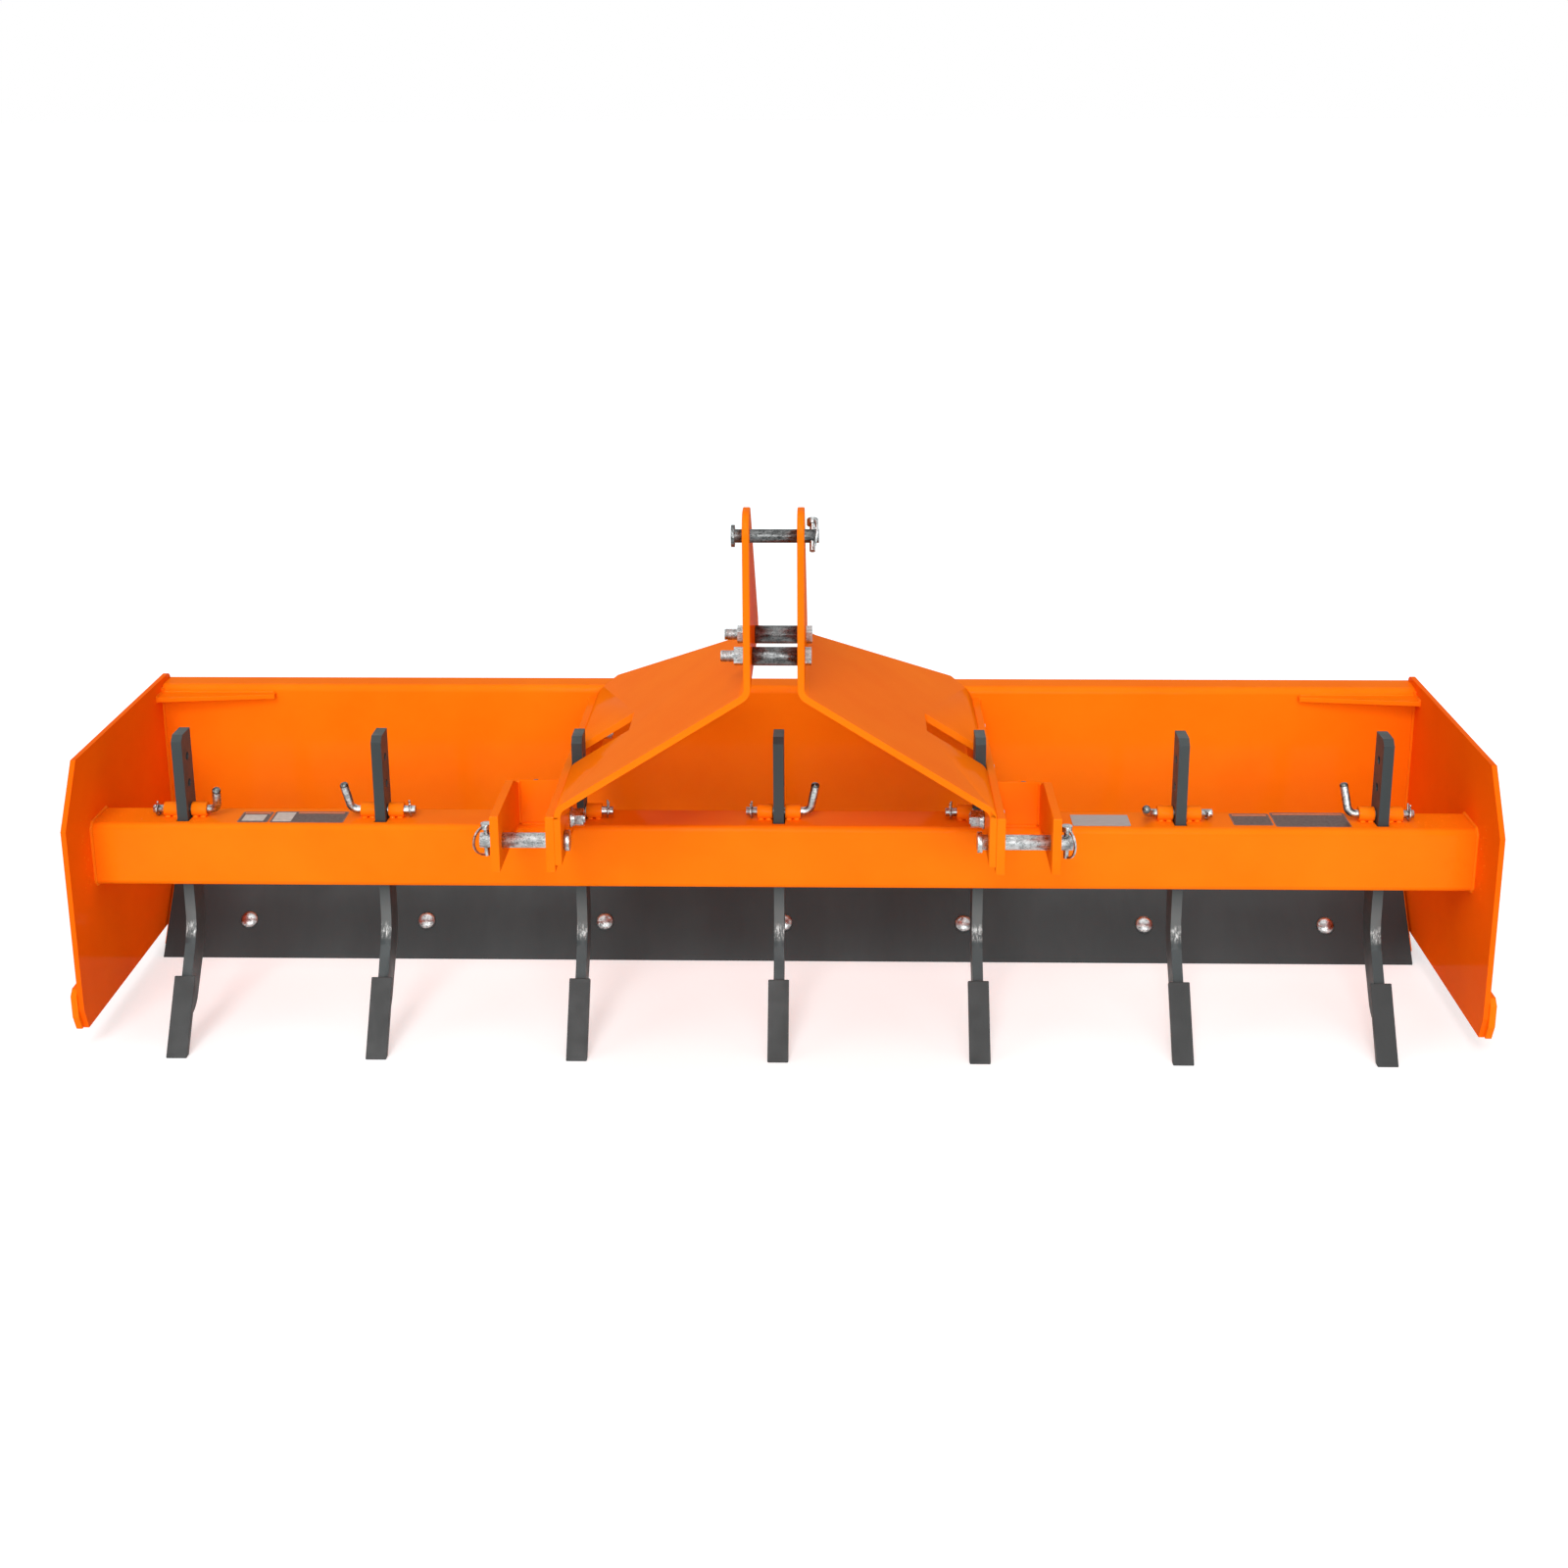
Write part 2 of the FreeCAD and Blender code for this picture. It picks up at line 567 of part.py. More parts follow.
def moldboard():
    """Sheet bent back at the top and curved forward behind the cutting edge."""
    body = new_body("moldboard")
    section = new_sketch(body, "YZ_Plane")
    polygon(section, [
        ("mold_low_y", "mold_low_z"),
        ("mold_face", "mold_bend_z"),
        ("mold_face", "mold_top"),
        ("mold_flange_rear", "mold_top"),
        ("mold_flange_rear", "mold_flange_under"),
        ("mold_back", "mold_flange_under"),
        ("mold_back", "mold_bend_back_z"),
        ("mold_low_back_y", "mold_low_back_z"),
    ])
    pad(body, section, "bar_length")
    round_edges(body, 0, [("mold_face", "mold_bend_z")], "mold_curve")
    round_edges(body, 0, [("mold_back", "mold_bend_back_z")], "mold_curve_back")
    round_edges(body, 0, [("mold_face", "mold_top")], "mold_top_outer")
    round_edges(body, 0, [("mold_back", "mold_flange_under")], "mold_top_bend")
    place(body, "-inner_half")
    return body


def front_cutting_edge():
    """Flat bar bolted on the moldboard's face, its lower edge level with the ground."""
    body = new_body("front_cutting_edge")
    section = new_sketch(body, "YZ_Plane")
    polygon(section, [
        ("zero", "zero"),
        ("edge_wide", "zero"),
        ("edge_wide", "-edge_thick"),
        ("edge_bevel", "-edge_thick"),
    ])
    pad(body, section, "edge_length")
    body.Placement.Rotation = FreeCAD.Rotation(FreeCAD.Vector(1, 0, 0), 1)
    body.setExpression("Placement.Rotation.Angle", "Sizes.edge_slope")
    place(body, "-edge_half", "Sizes.bar_front_y + Sizes.edge_toe_y")
    return body


def rear_piece(label, corners, half, length):
    """A flat piece drawn along the rear blade's slope, up from its toe."""
    body = new_body(label)
    section = new_sketch(body, "YZ_Plane")
    polygon(section, corners)
    pad(body, section, length)
    body.Placement.Rotation = FreeCAD.Rotation(FreeCAD.Vector(1, 0, 0), 1)
    body.setExpression("Placement.Rotation.Angle", "Sizes.rear_turn")
    place(body, half, "Sizes.bar_front_y + Sizes.rear_toe_y")
    return body


def rear_blade():
    edge = rear_piece("rear_cutting_edge", [
        ("zero", "zero"),
        ("rear_edge_wide", "zero"),
        ("rear_edge_wide", "edge_thick"),
        ("rear_bevel", "edge_thick"),
    ], "-edge_half", "edge_length")
    plate = rear_piece("rear_blade_plate", [
        ("rear_plate_rise", "edge_thick"),
        ("rear_plate_back", "edge_thick"),
        ("rear_plate_high", "rear_plate_face"),
        ("rear_plate_rise", "rear_plate_face"),
    ], "-inner_half", "bar_length")
    return [edge, plate]


def corner_gusset(name, side):
    """Level plate in the corner between side plate and moldboard."""
    body = new_body("corner_gusset_" + name)
    outline = new_sketch(body, "XY_Plane", "gusset_under")
    polygon(outline, [
        (sided("inner_half", side), "gusset_front"),
        (sided("inner_half", side), "mold_face"),
        (sided("gusset_inner", side), "mold_face"),
        (sided("gusset_inner", side), "gusset_tip_y"),
    ])
    pad(body, outline, "gusset_thick")
    place(body)
    return body


def shank(index, step):
    """Ripper shank: flat bar with three pin holes and a foot that reaches forward."""
    body = new_body("shank_%d" % (index + 1))
    outline = new_sketch(body, "YZ_Plane")
    elbow = ("shank_face", "shank_elbow_z")
    heel = ("shank_back", "shank_heel_z")
    sole = ("shank_sole_y", "shank_sole_z")
    polygon(outline, [
        ("shank_face", "shank_top"),
        elbow,
        ("foot_nose_y", "foot_nose_z"),
        sole,
        heel,
        ("shank_back", "shank_top"),
    ])
    pad(body, outline, "shank_thick")
    round_edges(body, 0, [elbow], "shank_elbow")
    round_edges(body, 0, [heel], "shank_heel_bend")
    round_edges(body, 0, [sole], "shank_sole_bend")
    round_edges(body, 0, [("shank_face", "shank_top")], "shank_bevel", "Chamfer")
    holes = new_sketch(body, "YZ_Plane")
    for height in ("pin_z", "hole_two_z", "hole_three_z"):
        circle(holes, "pin_y", height, "shank_hole")
    pocket(body, holes, "shank_thick")
    place(body, "%d * Sizes.shank_pitch - Sizes.shank_half" % step)
    return body


def shank_points():
    """Wear points on the shanks' feet, sharpened level with the ground."""
    body = new_body("shank_points")
    outline = new_sketch(body, "YZ_Plane")
    polygon(outline, [
        ("point_top_y", "point_top_z"),
        ("point_toe_y", "zero"),
        ("point_heel_y", "zero"),
        ("point_back_y", "point_back_z"),
    ])
    first = pad(body, outline, "point_wide")
    repeat(body, first, "X_Axis", "shank_span", len(SHANKS))
    place(body, "Sizes.first_shank_x - Sizes.point_half")
    return body


def bushing_start(step, side):
    """Distance from a shank's middle to its bushing: next to the shank, or next to
    the long hitch plate where that stands in between."""
    if step * side == 1:
        return "(Sizes.hitch_outer - Sizes.shank_pitch)"
    return "Sizes.slot_half"


def pin_bushings():
    """Two bushings for each shank's pin, welded on the tool bar."""
    rings = []
    for index, (step, handle, lean) in enumerate(SHANKS):
        for name, side in SIDES:
            start = bushing_start(step, side)
            turn = ALONG_X if side > 0 else AGAINST_X
            x = "%d * Sizes.shank_pitch + %d * %s" % (step, side, start)
            tag = "%d_%s" % (index + 1, name)
            spot = (x, "Sizes.pin_y", "Sizes.pin_z")
            long = {"Radius": "Sizes.bushing_radius", "Height": "Sizes.bushing_long"}
            bore = {"Radius": "Sizes.bushing_bore", "Height": "Sizes.bushing_long"}
            outer = primitive("Cylinder", "bushing_outer_" + tag, long, spot, turn)
            inner = primitive("Cylinder", "bushing_bore_" + tag, bore, spot, turn)
            ring = doc.addObject("Part::Cut", "bushing_" + tag)
            ring.Base = outer
            ring.Tool = inner
            rings.append(ring)
    group = doc.addObject("Part::Compound", "pin_bushings")
    group.Label = "pin_bushings"
    group.Links = rings
    place(group)
    return group


def shank_pin(index, step, handle, lean):
    """Rod with a bent handle, through both bushings and the shank."""
    label = "shank_pin_%d" % (index + 1)
    rod_start = "(%s + Sizes.bushing_long + Sizes.pin_tail)" % bushing_start(step, -handle)
    rod_end = "(%s + Sizes.bushing_long + Sizes.pin_gap)" % bushing_start(step, handle)
    turn = ALONG_X if handle > 0 else AGAINST_X
    rod = primitive("Cylinder", label + "_rod", {
        "Radius": "Sizes.pin_radius",
        "Height": "%s + %s" % (rod_start, rod_end),
    }, ("%d * %s" % (-handle, rod_start), 0, 0), turn)
    # the bend's own circle lies in XZ, centred over the rod's end
    bend = primitive("Torus", label + "_bend", {
        "Radius1": "Sizes.pin_bend",
        "Radius2": "Sizes.pin_radius",
        "Angle3": "Sizes.pin_turn",
    }, ("%d * %s" % (handle, rod_end), 0, "Sizes.pin_bend"))
    bend.Placement.Rotation = BEND_RIGHT if handle > 0 else BEND_LEFT
    x = "%d * (%s + Sizes.pin_bend * sin(Sizes.pin_turn))" % (handle, rod_end)
    z = "Sizes.pin_bend * (1 - cos(Sizes.pin_turn))"
    tip = primitive("Cylinder", label + "_handle", {
        "Radius": "Sizes.pin_radius",
        "Height": "Sizes.pin_handle",
    }, (x, 0, z), (FreeCAD.Vector(0, 1, 0), 1))
    tip.setExpression("Placement.Rotation.Angle", "%d * (90 - Sizes.pin_turn)" % handle)
    solid = union(label + "_solid", [rod, bend, tip])
    clip_x = "%d * (%s - 0.5 * Sizes.pin_tail)" % (-handle, rod_start)
    hole = primitive("Cylinder", label + "_clip_hole", {
        "Radius": "Sizes.clip_radius",
        "Height": "2 * Sizes.pin_dia",
    }, (clip_x, 0, "-Sizes.pin_dia"))
    pin = doc.addObject("Part::Cut", label)
    pin.Label = label
    pin.Base = solid
    pin.Tool = hole
    pin.Placement = FreeCAD.Placement(FreeCAD.Vector(), FreeCAD.Rotation(FreeCAD.Vector(1, 0, 0), lean))
    place(pin, "%d * Sizes.shank_pitch" % step, "Sizes.bar_front_y + Sizes.pin_y", "Sizes.pin_z")
    return pin


def plate_holes(body, spots):
    holes = new_sketch(body, "YZ_Plane")
    for across, up, radius in spots:
        circle(holes, across, up, radius)
    pocket(body, holes)


FLANGE_BOLTS = ["flange_bolt_y", "flange_bolt_two", "flange_bolt_three"]


def hitch_plate(name, side):
    """Long plate from the lower hitch pin back to the moldboard."""
    body = new_body("hitch_plate_" + name)
    outline = new_sketch(body, "YZ_Plane")
    polygon(outline, [
        ("hitch_front", "bar_top"),
        ("mold_face", "bar_top"),
        ("mold_face", "hitch_top"),
        ("hitch_front", "hitch_top"),
    ])
    pad(body, outline, "hitch_thick")
    spots = [("link_pin_y", "low_pin_z", "low_pin_bore"), ("pin_y", "pin_z", "shank_hole")]
    spots += [(y, "flange_bolt_z", "bolt_hole") for y in FLANGE_BOLTS]
    plate_holes(body, spots)
    place(body, "hitch_inner" if side > 0 else "-hitch_outer")
    return body


def hitch_ear(name, side):
    """Short outer plate of the lower hitch clevis."""
    body = new_body("hitch_ear_" + name)
    outline = new_sketch(body, "YZ_Plane")
    polygon(outline, [
        ("hitch_front", "bar_top"),
        ("ear_rear", "bar_top"),
        ("ear_rear", "ear_rear_z"),
        ("ear_slope_y", "hitch_top"),
        ("hitch_front", "hitch_top"),
    ])
    pad(body, outline, "hitch_thick")
    plate_holes(body, [("link_pin_y", "low_pin_z", "low_pin_bore")])
    place(body, "ear_inner" if side > 0 else "-ear_outer")
    return body


def hitch_back_plate(name, side):
    """Plate across the back of the clevis, standing on the tool bar."""
    body = new_body("hitch_back_plate_" + name)
    outline = new_sketch(body, "YZ_Plane")
    polygon(outline, [
        ("back_plate_y", "bar_top"),
        ("ear_rear", "bar_top"),
        ("ear_rear", "ear_rear_z"),
        ("back_plate_y", "back_plate_top"),
    ])
    pad(body, outline, "ear_gap")
    place(body, "hitch_outer" if side > 0 else "-ear_inner")
    return body


def mast_plate(name, side):
    """Half of the A-frame: a plate bent twice, from the long hitch plate to the mast."""
    body = new_body("mast_plate_" + name)
    band = new_sketch(body, "XZ_Plane", "-hitch_front")
    corners = [
        ("hitch_inner", "flange_bottom"),
        ("hitch_inner", "mast_low_z"),
        ("mast_half", "mast_bend_z"),
        ("mast_half", "mast_top"),
        ("mast_inner", "mast_top"),
        ("mast_inner", "mast_bend_in_z"),
        ("flange_inner", "mast_low_in_z"),
        ("flange_inner", "flange_bottom"),
    ]
    polygon(band, [(sided(x, side), z) for x, z in corners])
    pad(body, band, "mast_band_long", True)
    for corner, radius in (
        (corners[1], "mast_outer_bend"),
        (corners[2], "mast_bend"),
        (corners[5], "mast_outer_bend"),
        (corners[6], "mast_bend"),
    ):
        round_edges(body, 1, [(sided(corner[0], side), corner[1])], radius)
    # what lies outside the side view's outline is cut away
    trim = new_sketch(body, "YZ_Plane")
    polygon(trim, [
        ("mast_crown_y", "mast_top"),
        ("mast_knee_y", "mast_knee_z"),
        ("mast_elbow_y", "mast_elbow_z"),
        ("mast_tail_y", "mast_tail_z"),
        ("mast_heel_y", "mast_heel_z"),
        ("mast_heel_y", "zero"),
        ("mast_beyond_y", "zero"),
        ("mast_beyond_y", "mast_beyond_z"),
        ("mast_crown_y", "mast_beyond_z"),
    ])
    pocket(body, trim)
    slot = new_sketch(body, "XY_Plane")
    slot_corners = [
        ("mast_slot_in", "mast_slot_front"),
        ("mast_slot_out", "mast_slot_front"),
        ("mast_slot_out", "mast_slot_rear"),
        ("mast_slot_in", "mast_slot_rear"),
    ]
    polygon(slot, [(sided(x, side), y) for x, y in slot_corners])
    pocket(body, slot)
    round_edges(body, 0, [("hitch_front", "mast_top"), ("mast_crown_y", "mast_top")], "mast_crown")
    holes = [
        ("link_pin_y", "top_pin_z", "top_pin_bore"),
        ("spacer_front_y", "spacer_z", "bolt_hole"),
        ("spacer_rear_y", "spacer_z", "bolt_hole"),
        ("link_pin_y", "low_pin_z", "low_pin_bore"),
    ]
    holes += [(y, "flange_bolt_z", "bolt_hole") for y in FLANGE_BOLTS]
    plate_holes(body, holes)
    place(body)
    return body


def mast_spacers():
    """Two tubes that hold the mast plates apart, round their bolts."""
    body = new_body("mast_spacers")
    rings = new_sketch(body, "YZ_Plane")
    for y in ("spacer_front_y", "spacer_rear_y"):
        circle(rings, y, "spacer_z", "spacer_radius")
        circle(rings, y, "spacer_z", "bolt_hole")
    pad(body, rings, "spacer_long")
    place(body, "-mast_inner")
    return body


def hex_bolt(tag, x, y, z, side, grip, head, washers, proud):
    """Bolt along X with its head outside on the given side, then washers and nut.
    Washers are pairs of cells, diameter and thickness, from the plate outwards."""
    turn = AGAINST_X if side > 0 else ALONG_X
    def at(depth):
        return ("%s - %d * (%s)" % (x, side, depth), y, z)
    pieces = []
    depth = grip
    for index, (across, thick) in enumerate(washers):
        pieces.append(primitive("Cylinder", "%s_washer_%d" % (tag, index + 1), {
            "Radius": "%s / 2" % cell(across),
            "Height": cell(thick),
        }, at(depth), turn))
        depth = "%s + %s" % (depth, cell(thick))
    pieces += [
        primitive("Prism", tag + "_nut", {
            "Polygon": 6,
            "Circumradius": "Sizes.bolt_corner",
            "Height": "Sizes.bolt_nut",
        }, at(depth), turn),
        primitive("Prism", tag + "_head", {
            "Polygon": 6,
            "Circumradius": "Sizes.bolt_corner",
            "Height": cell(head),
        }, at("-" + cell(head)), turn),
        primitive("Cylinder", tag + "_rod", {
            "Radius": "Sizes.bolt_radius",
            "Height": "%s + Sizes.bolt_nut + %s" % (depth, cell(proud)),
        }, at("0"), turn),
    ]
    return union(tag, pieces)


def bolt_group(label, bolts):
    group = doc.addObject("Part::Compound", label)
    group.Label = label
    group.Links = bolts
    place(group)
    return group


def mast_bolts():
    bolts = []
    washers = [("washer_dia", "bolt_washer")]
    for tag, y in (("front", "Sizes.spacer_front_y"), ("rear", "Sizes.spacer_rear_y")):
        bolts.append(hex_bolt("mast_bolt_" + tag, "Sizes.mast_half", y, "Sizes.spacer_z", 1,
                              "2 * Sizes.mast_half", "mast_head", washers, "mast_proud"))
    return bolt_group("mast_bolts", bolts)


def flange_bolts():
    bolts = []
    washers = [("washer_dia", "bolt_washer"), ("spring_dia", "spring_washer")]
    grip = "(Sizes.hitch_thick + Sizes.mast_thick)"
    for name, side in SIDES:
        for number_in_row, y in enumerate(FLANGE_BOLTS):
            tag = "flange_bolt_%s_%d" % (name, number_in_row + 1)
            x = "%d * Sizes.hitch_outer" % side
            bolts.append(hex_bolt(tag, x, cell(y), "Sizes.flange_bolt_z", side, grip,
                                  "flange_head", washers, "flange_proud"))
    return bolt_group("flange_bolts", bolts)


def turned(item, lean, turn=0):
    """Lean about X, after a turn about the item's own upright axis."""
    upright = FreeCAD.Rotation(FreeCAD.Vector(0, 0, 1), turn)
    tilt = FreeCAD.Rotation(FreeCAD.Vector(1, 0, 0), lean)
    item.Placement = FreeCAD.Placement(FreeCAD.Vector(), tilt * upright)


def hitch_pin(label, radius, first, last, side, over, thick, neck, lean):
    """Turned pin with a head outside its first plate and a cross hole beyond the last.
    It lies along its own X from the head, and side says which way that is."""
    turn = ALONG_X if side > 0 else AGAINST_X
    def at(depth):
        return ("%d * (%s + %s)" % (side, first, depth), 0, 0)
    rod = primitive("Cylinder", label + "_rod", {
        "Radius": radius,
        "Height": "%s - %s + %s + Sizes.pin_end" % (last, first, neck),
    }, at("-" + neck), turn)
    head = primitive("Cylinder", label + "_head", {
        "Radius": "%s + %s / 2" % (radius, over),
        "Height": thick,
    }, at("-%s - %s" % (neck, thick)), turn)
    solid = union(label + "_solid", [rod, head])
    hole = primitive("Cylinder", label + "_hole", {
        "Radius": "Sizes.lynch_hole",
        "Height": "4 * %s" % radius,
    }, ("%d * (%s + Sizes.lynch_reach)" % (side, last), 0, "-2 * %s" % radius))
    pin = doc.addObject("Part::Cut", label)
    pin.Label = label
    pin.Base = solid
    pin.Tool = hole
    turned(pin, lean)
    return pin


def lynch_pin(label, side):
    """Short pin through the hitch pin's end, with a half ring that closes round that end.
    Its own origin is on the hitch pin's axis."""
    stem = primitive("Cylinder", label + "_stem", {
        "Radius": "Sizes.lynch_radius",
        "Height": "2 * Sizes.lynch_ring",
    }, (0, 0, "-Sizes.lynch_ring - Sizes.lynch_wire / 2"))
    head = primitive("Cylinder", label + "_head", {
        "Radius": "Sizes.lynch_dia",
        "Height": "Sizes.lynch_dia",
    }, (0, 0, "Sizes.lynch_ring - Sizes.lynch_radius"))
    # the half ring is swept from the stem's foot, outwards, to its head
    sweep = FreeCAD.Rotation(FreeCAD.Vector(0, 0, -1), FreeCAD.Vector(side, 0, 0),
                             FreeCAD.Vector(0, -side, 0))
    halves = []
    for part, sign in (("outer", "+"), ("inner", "-")):
        disc = primitive("Cylinder", "%s_ring_%s" % (label, part), {
            "Radius": "Sizes.lynch_ring %s Sizes.lynch_wire / 2" % sign,
            "Height": "Sizes.lynch_wire",
            "Angle": 180,
        }, (0, "%d * Sizes.lynch_wire / 2" % side, 0))
        disc.Placement.Rotation = sweep
        halves.append(disc)
    ring = doc.addObject("Part::Cut", label + "_ring")
    ring.Base, ring.Tool = halves
    return union(label, [stem, head, ring])


def hitch_pins():
    pins = []
    y = "Sizes.bar_front_y + Sizes.link_pin_y"
    for name, side, radius, first, last, z, over, thick, neck, lean, turn in HITCH_PINS:
        where = name.split("_")
        pin_label = "_".join([where[0], "hitch_pin"] + where[1:])
        lynch_label = "_".join([where[0], "lynch_pin"] + where[1:])
        pin = hitch_pin(pin_label, cell(radius), cell(first), cell(last), side,
                        cell(over), cell(thick), cell(neck), lean)
        place(pin, "zero", y, z)
        lynch = lynch_pin(lynch_label, side)
        turned(lynch, lean, turn)
        place(lynch, "%d * (%s + Sizes.lynch_reach)" % (side, cell(last)), y, z)
        pins += [pin, lynch]
    return pins


def build():
    fill_sheet()
    pieces = [tool_bar(), pin_bushings(), moldboard(), front_cutting_edge()]
    pieces += rear_blade()
    for name, side in SIDES:
        pieces += [side_plate(name, side), skid_shoe(name, side), corner_gusset(name, side)]
        pieces += [hitch_plate(name, side), hitch_ear(name, side), hitch_back_plate(name, side)]
        pieces.append(mast_plate(name, side))
    for index, (step, handle, lean) in enumerate(SHANKS):
        pieces += [shank(index, step), shank_pin(index, step, handle, lean)]
    pieces += [shank_points(), mast_spacers(), mast_bolts(), flange_bolts()]
    pieces += hitch_pins()
    doc.recompute()
    return pieces


def check(pieces):
    for item in doc.Objects:
        if "Invalid" in item.State or "Error" in item.State:
            raise RuntimeError("%s is %s" % (item.Label, item.State))
    for piece in pieces:
        if piece.Shape.isNull() or not piece.Shape.isValid():
            raise RuntimeError(piece.Label + " has no valid shape")


def write(pieces):
    os.makedirs("parts", exist_ok=True)
    for piece in pieces:
        piece.Shape.exportStep("parts/%s.step" % piece.Label)


pieces = build()
check(pieces)
write(pieces)
print("%d sub-parts" % len(pieces))
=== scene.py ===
import bmesh
import bpy
import json
import math
import random
from mathutils import Matrix, Vector


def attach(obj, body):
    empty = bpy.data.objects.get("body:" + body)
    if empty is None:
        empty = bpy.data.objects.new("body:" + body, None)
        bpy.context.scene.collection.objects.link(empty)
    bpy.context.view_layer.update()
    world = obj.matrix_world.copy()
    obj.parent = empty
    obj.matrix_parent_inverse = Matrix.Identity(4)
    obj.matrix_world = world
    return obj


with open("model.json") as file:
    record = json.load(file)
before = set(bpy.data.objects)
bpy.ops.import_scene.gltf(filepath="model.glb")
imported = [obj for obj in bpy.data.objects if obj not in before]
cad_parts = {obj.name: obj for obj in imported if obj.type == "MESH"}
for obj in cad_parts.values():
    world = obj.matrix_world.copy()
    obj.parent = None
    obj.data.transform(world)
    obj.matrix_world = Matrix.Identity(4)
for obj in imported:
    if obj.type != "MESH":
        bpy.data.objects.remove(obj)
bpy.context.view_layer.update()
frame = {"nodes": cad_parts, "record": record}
nodes = frame["nodes"]
random.seed(7)

# Places on the blade, in metres, in the part's frame: X to the right as seen from the tractor,
# Y from the hitch to the moldboard, Z up from the ground

# Tool bar
BAR_FRONT = -0.118
BAR_REAR = -0.0418
BAR_LOW = 0.2384
BAR_TOP = 0.340
BAR_CORNER = 0.007

# Side plates and skid shoes
SIDE_IN = 1.059
SIDE_OUT = 1.067
SHOE_TOP = 0.107
SHOE_STITCHES = (-0.150, -0.030, 0.090, 0.210)
STITCH_LENGTH = 0.055

# Moldboard: an upright face, a bend, and a slope that the front cutting edge covers
MOLD_FACE = 0.250
MOLD_TOP = 0.4455
MOLD_BEND_Z = 0.1437
MOLD_BEND_RADIUS = 0.056
MOLD_BEND_TURN = 41
SLOPE_FOOT = Vector((0, 0.13598, -0.00833))
SLOPE_BEND_END = 0.1529
SLOPE_EDGE_TOP = 0.154

# Cutting edges: lean from level in degrees, foot in Y, how far up the bolts are, side that they show on
EDGE_LEAN = 49
CUTTING_EDGES = ((EDGE_LEAN, 0.1264, 0.067, 1), (105, 0.287, 0.052, -1))
EDGE_BOLT_PITCH = 0.3048

# Gussets in the moldboard's upper corners
GUSSET_INNER = 0.866
GUSSET_FRONT = 0.2175
GUSSET_FACES = (0.4335, 0.4255)

# Hitch on each side: the long plate, the ear outside it, and the back plate between the two
HITCH_IN = 0.3166
HITCH_OUT = 0.3293
HITCH_REAR_TOP = 0.4255
EAR_IN = 0.3965
EAR_OUT = 0.4092
BACK_FRONT = -0.109
BACK_REAR = -0.101
BACK_FRONT_TOP = 0.4105
BACK_REAR_TOP = 0.402

# Mast bolts, and the thread on their free ends
MAST_BOLTS_Y = (-0.227, -0.117)
MAST_BOLTS_Z = 0.646
THREAD_START = -0.0597
THREAD_PITCH = 0.0019
THREAD_RADIUS = 0.0078
THREAD_RIDGE = 0.00078
THREAD_TURNS = 9
THREAD_STEPS = 22

# Shanks, left to right: place in pitches, side of the pin's handle, its lean in degrees
PITCH = 0.3066
SHANKS = ((-3, 1, 30), (-2, -1, 12), (-1, -1, -8), (0, 1, 5), (1, 1, -8), (2, -1, 62), (3, -1, -10))

# Bushings of the shank pins, from the shank's middle outwards, and their welds on the bar
BUSHING_START = 0.0095
BUSHING_STITCHES = ((0.002, 0.010), (0.014, 0.022))
BUSHING_WELD_OFF = 0.0068

# Shank pins: axis, length up to the handle's bend, the handle after it, and the clip's place in the tail
PIN_Y = -0.0799
PIN_Z = 0.3512
ROD_PAST_START = 0.027
HANDLE_BEND_OUT = 0.013787
HANDLE_BEND_UP = 0.011569
HANDLE_RUN = 0.034
HANDLE_TILT = math.radians(10)
CLIP_X = 0.042

# Profiles of turned forms: pairs of radius and height
BOLT_HEAD = ((0.0148, -0.0002), (0.0150, 0.0014), (0.0140, 0.0036), (0.0116, 0.0058), (0.0081, 0.0074),
             (0.0042, 0.0083), (0, 0.0085))
HANDLE_TIP = ((0.0062, -0.0030), (0.00647, -0.0022), (0.00640, 0), (0.0056, 0.0016), (0.0040, 0.0028),
              (0.0020, 0.0034), (0, 0.0036))

# Hairpin clip as Y and Z across the pin: the straight leg, the eye, then the leg that hugs the pin
HAIRPIN = ((0, 0.0165), (0, 0.011), (0, 0.002), (0, -0.0055), (-0.0005, -0.0078), (-0.0030, -0.0090),
           (-0.0066, -0.0070), (-0.0089, -0.0025), (-0.0088, 0.0025), (-0.0068, 0.0062),
           (-0.0040, 0.0086), (-0.0036, 0.0112), (-0.0058, 0.0146))
HAIRPIN_EYE = 4
HAIRPIN_BOW = 0.0022
HAIRPIN_SWAY = 0.0008
HAIRPIN_WIRE = 0.0016
HAIRPIN_END = 0.0010

# Spatter near each side plate: distance in from the plate, Y, Z, and the way that the surface faces.
# A pair is a range.
SPATTER = (
    (0, (-0.160, -0.126), (0.24, 0.36), (-1, 0, 0)),
    ((0.006, 0.050), BAR_FRONT, (0.25, 0.33), (0, -1, 0)),
    ((0.006, 0.090), (-0.108, -0.050), BAR_TOP, (0, 0, 1)),
    ((0.006, 0.040), MOLD_FACE, (0.20, 0.42), (0, -1, 0)),
)
SPATTER_AT_SIDE = 34
SPATTER_AT_SHANK = 16

# Blank panels on the bar: thickness, corner radius and width of the border
LABEL = (0.00035, 0.004, 0.0016)
PRINT = (0.00055, 0.001, 0.0002)
PLATE = (0.0009, 0.002, 0.0012)
PANEL_STEP_IN = 0.0003
PANEL_STEP_UP = 0.00008
CORNER_POINTS = 6

# Edges of the cut and bent plates, and of everything else
PLATE_NODES = ("mast_plate", "hitch_", "side_plate", "skid")
PLATE_EDGE = 0.0017
FINE_EDGE = 0.0012

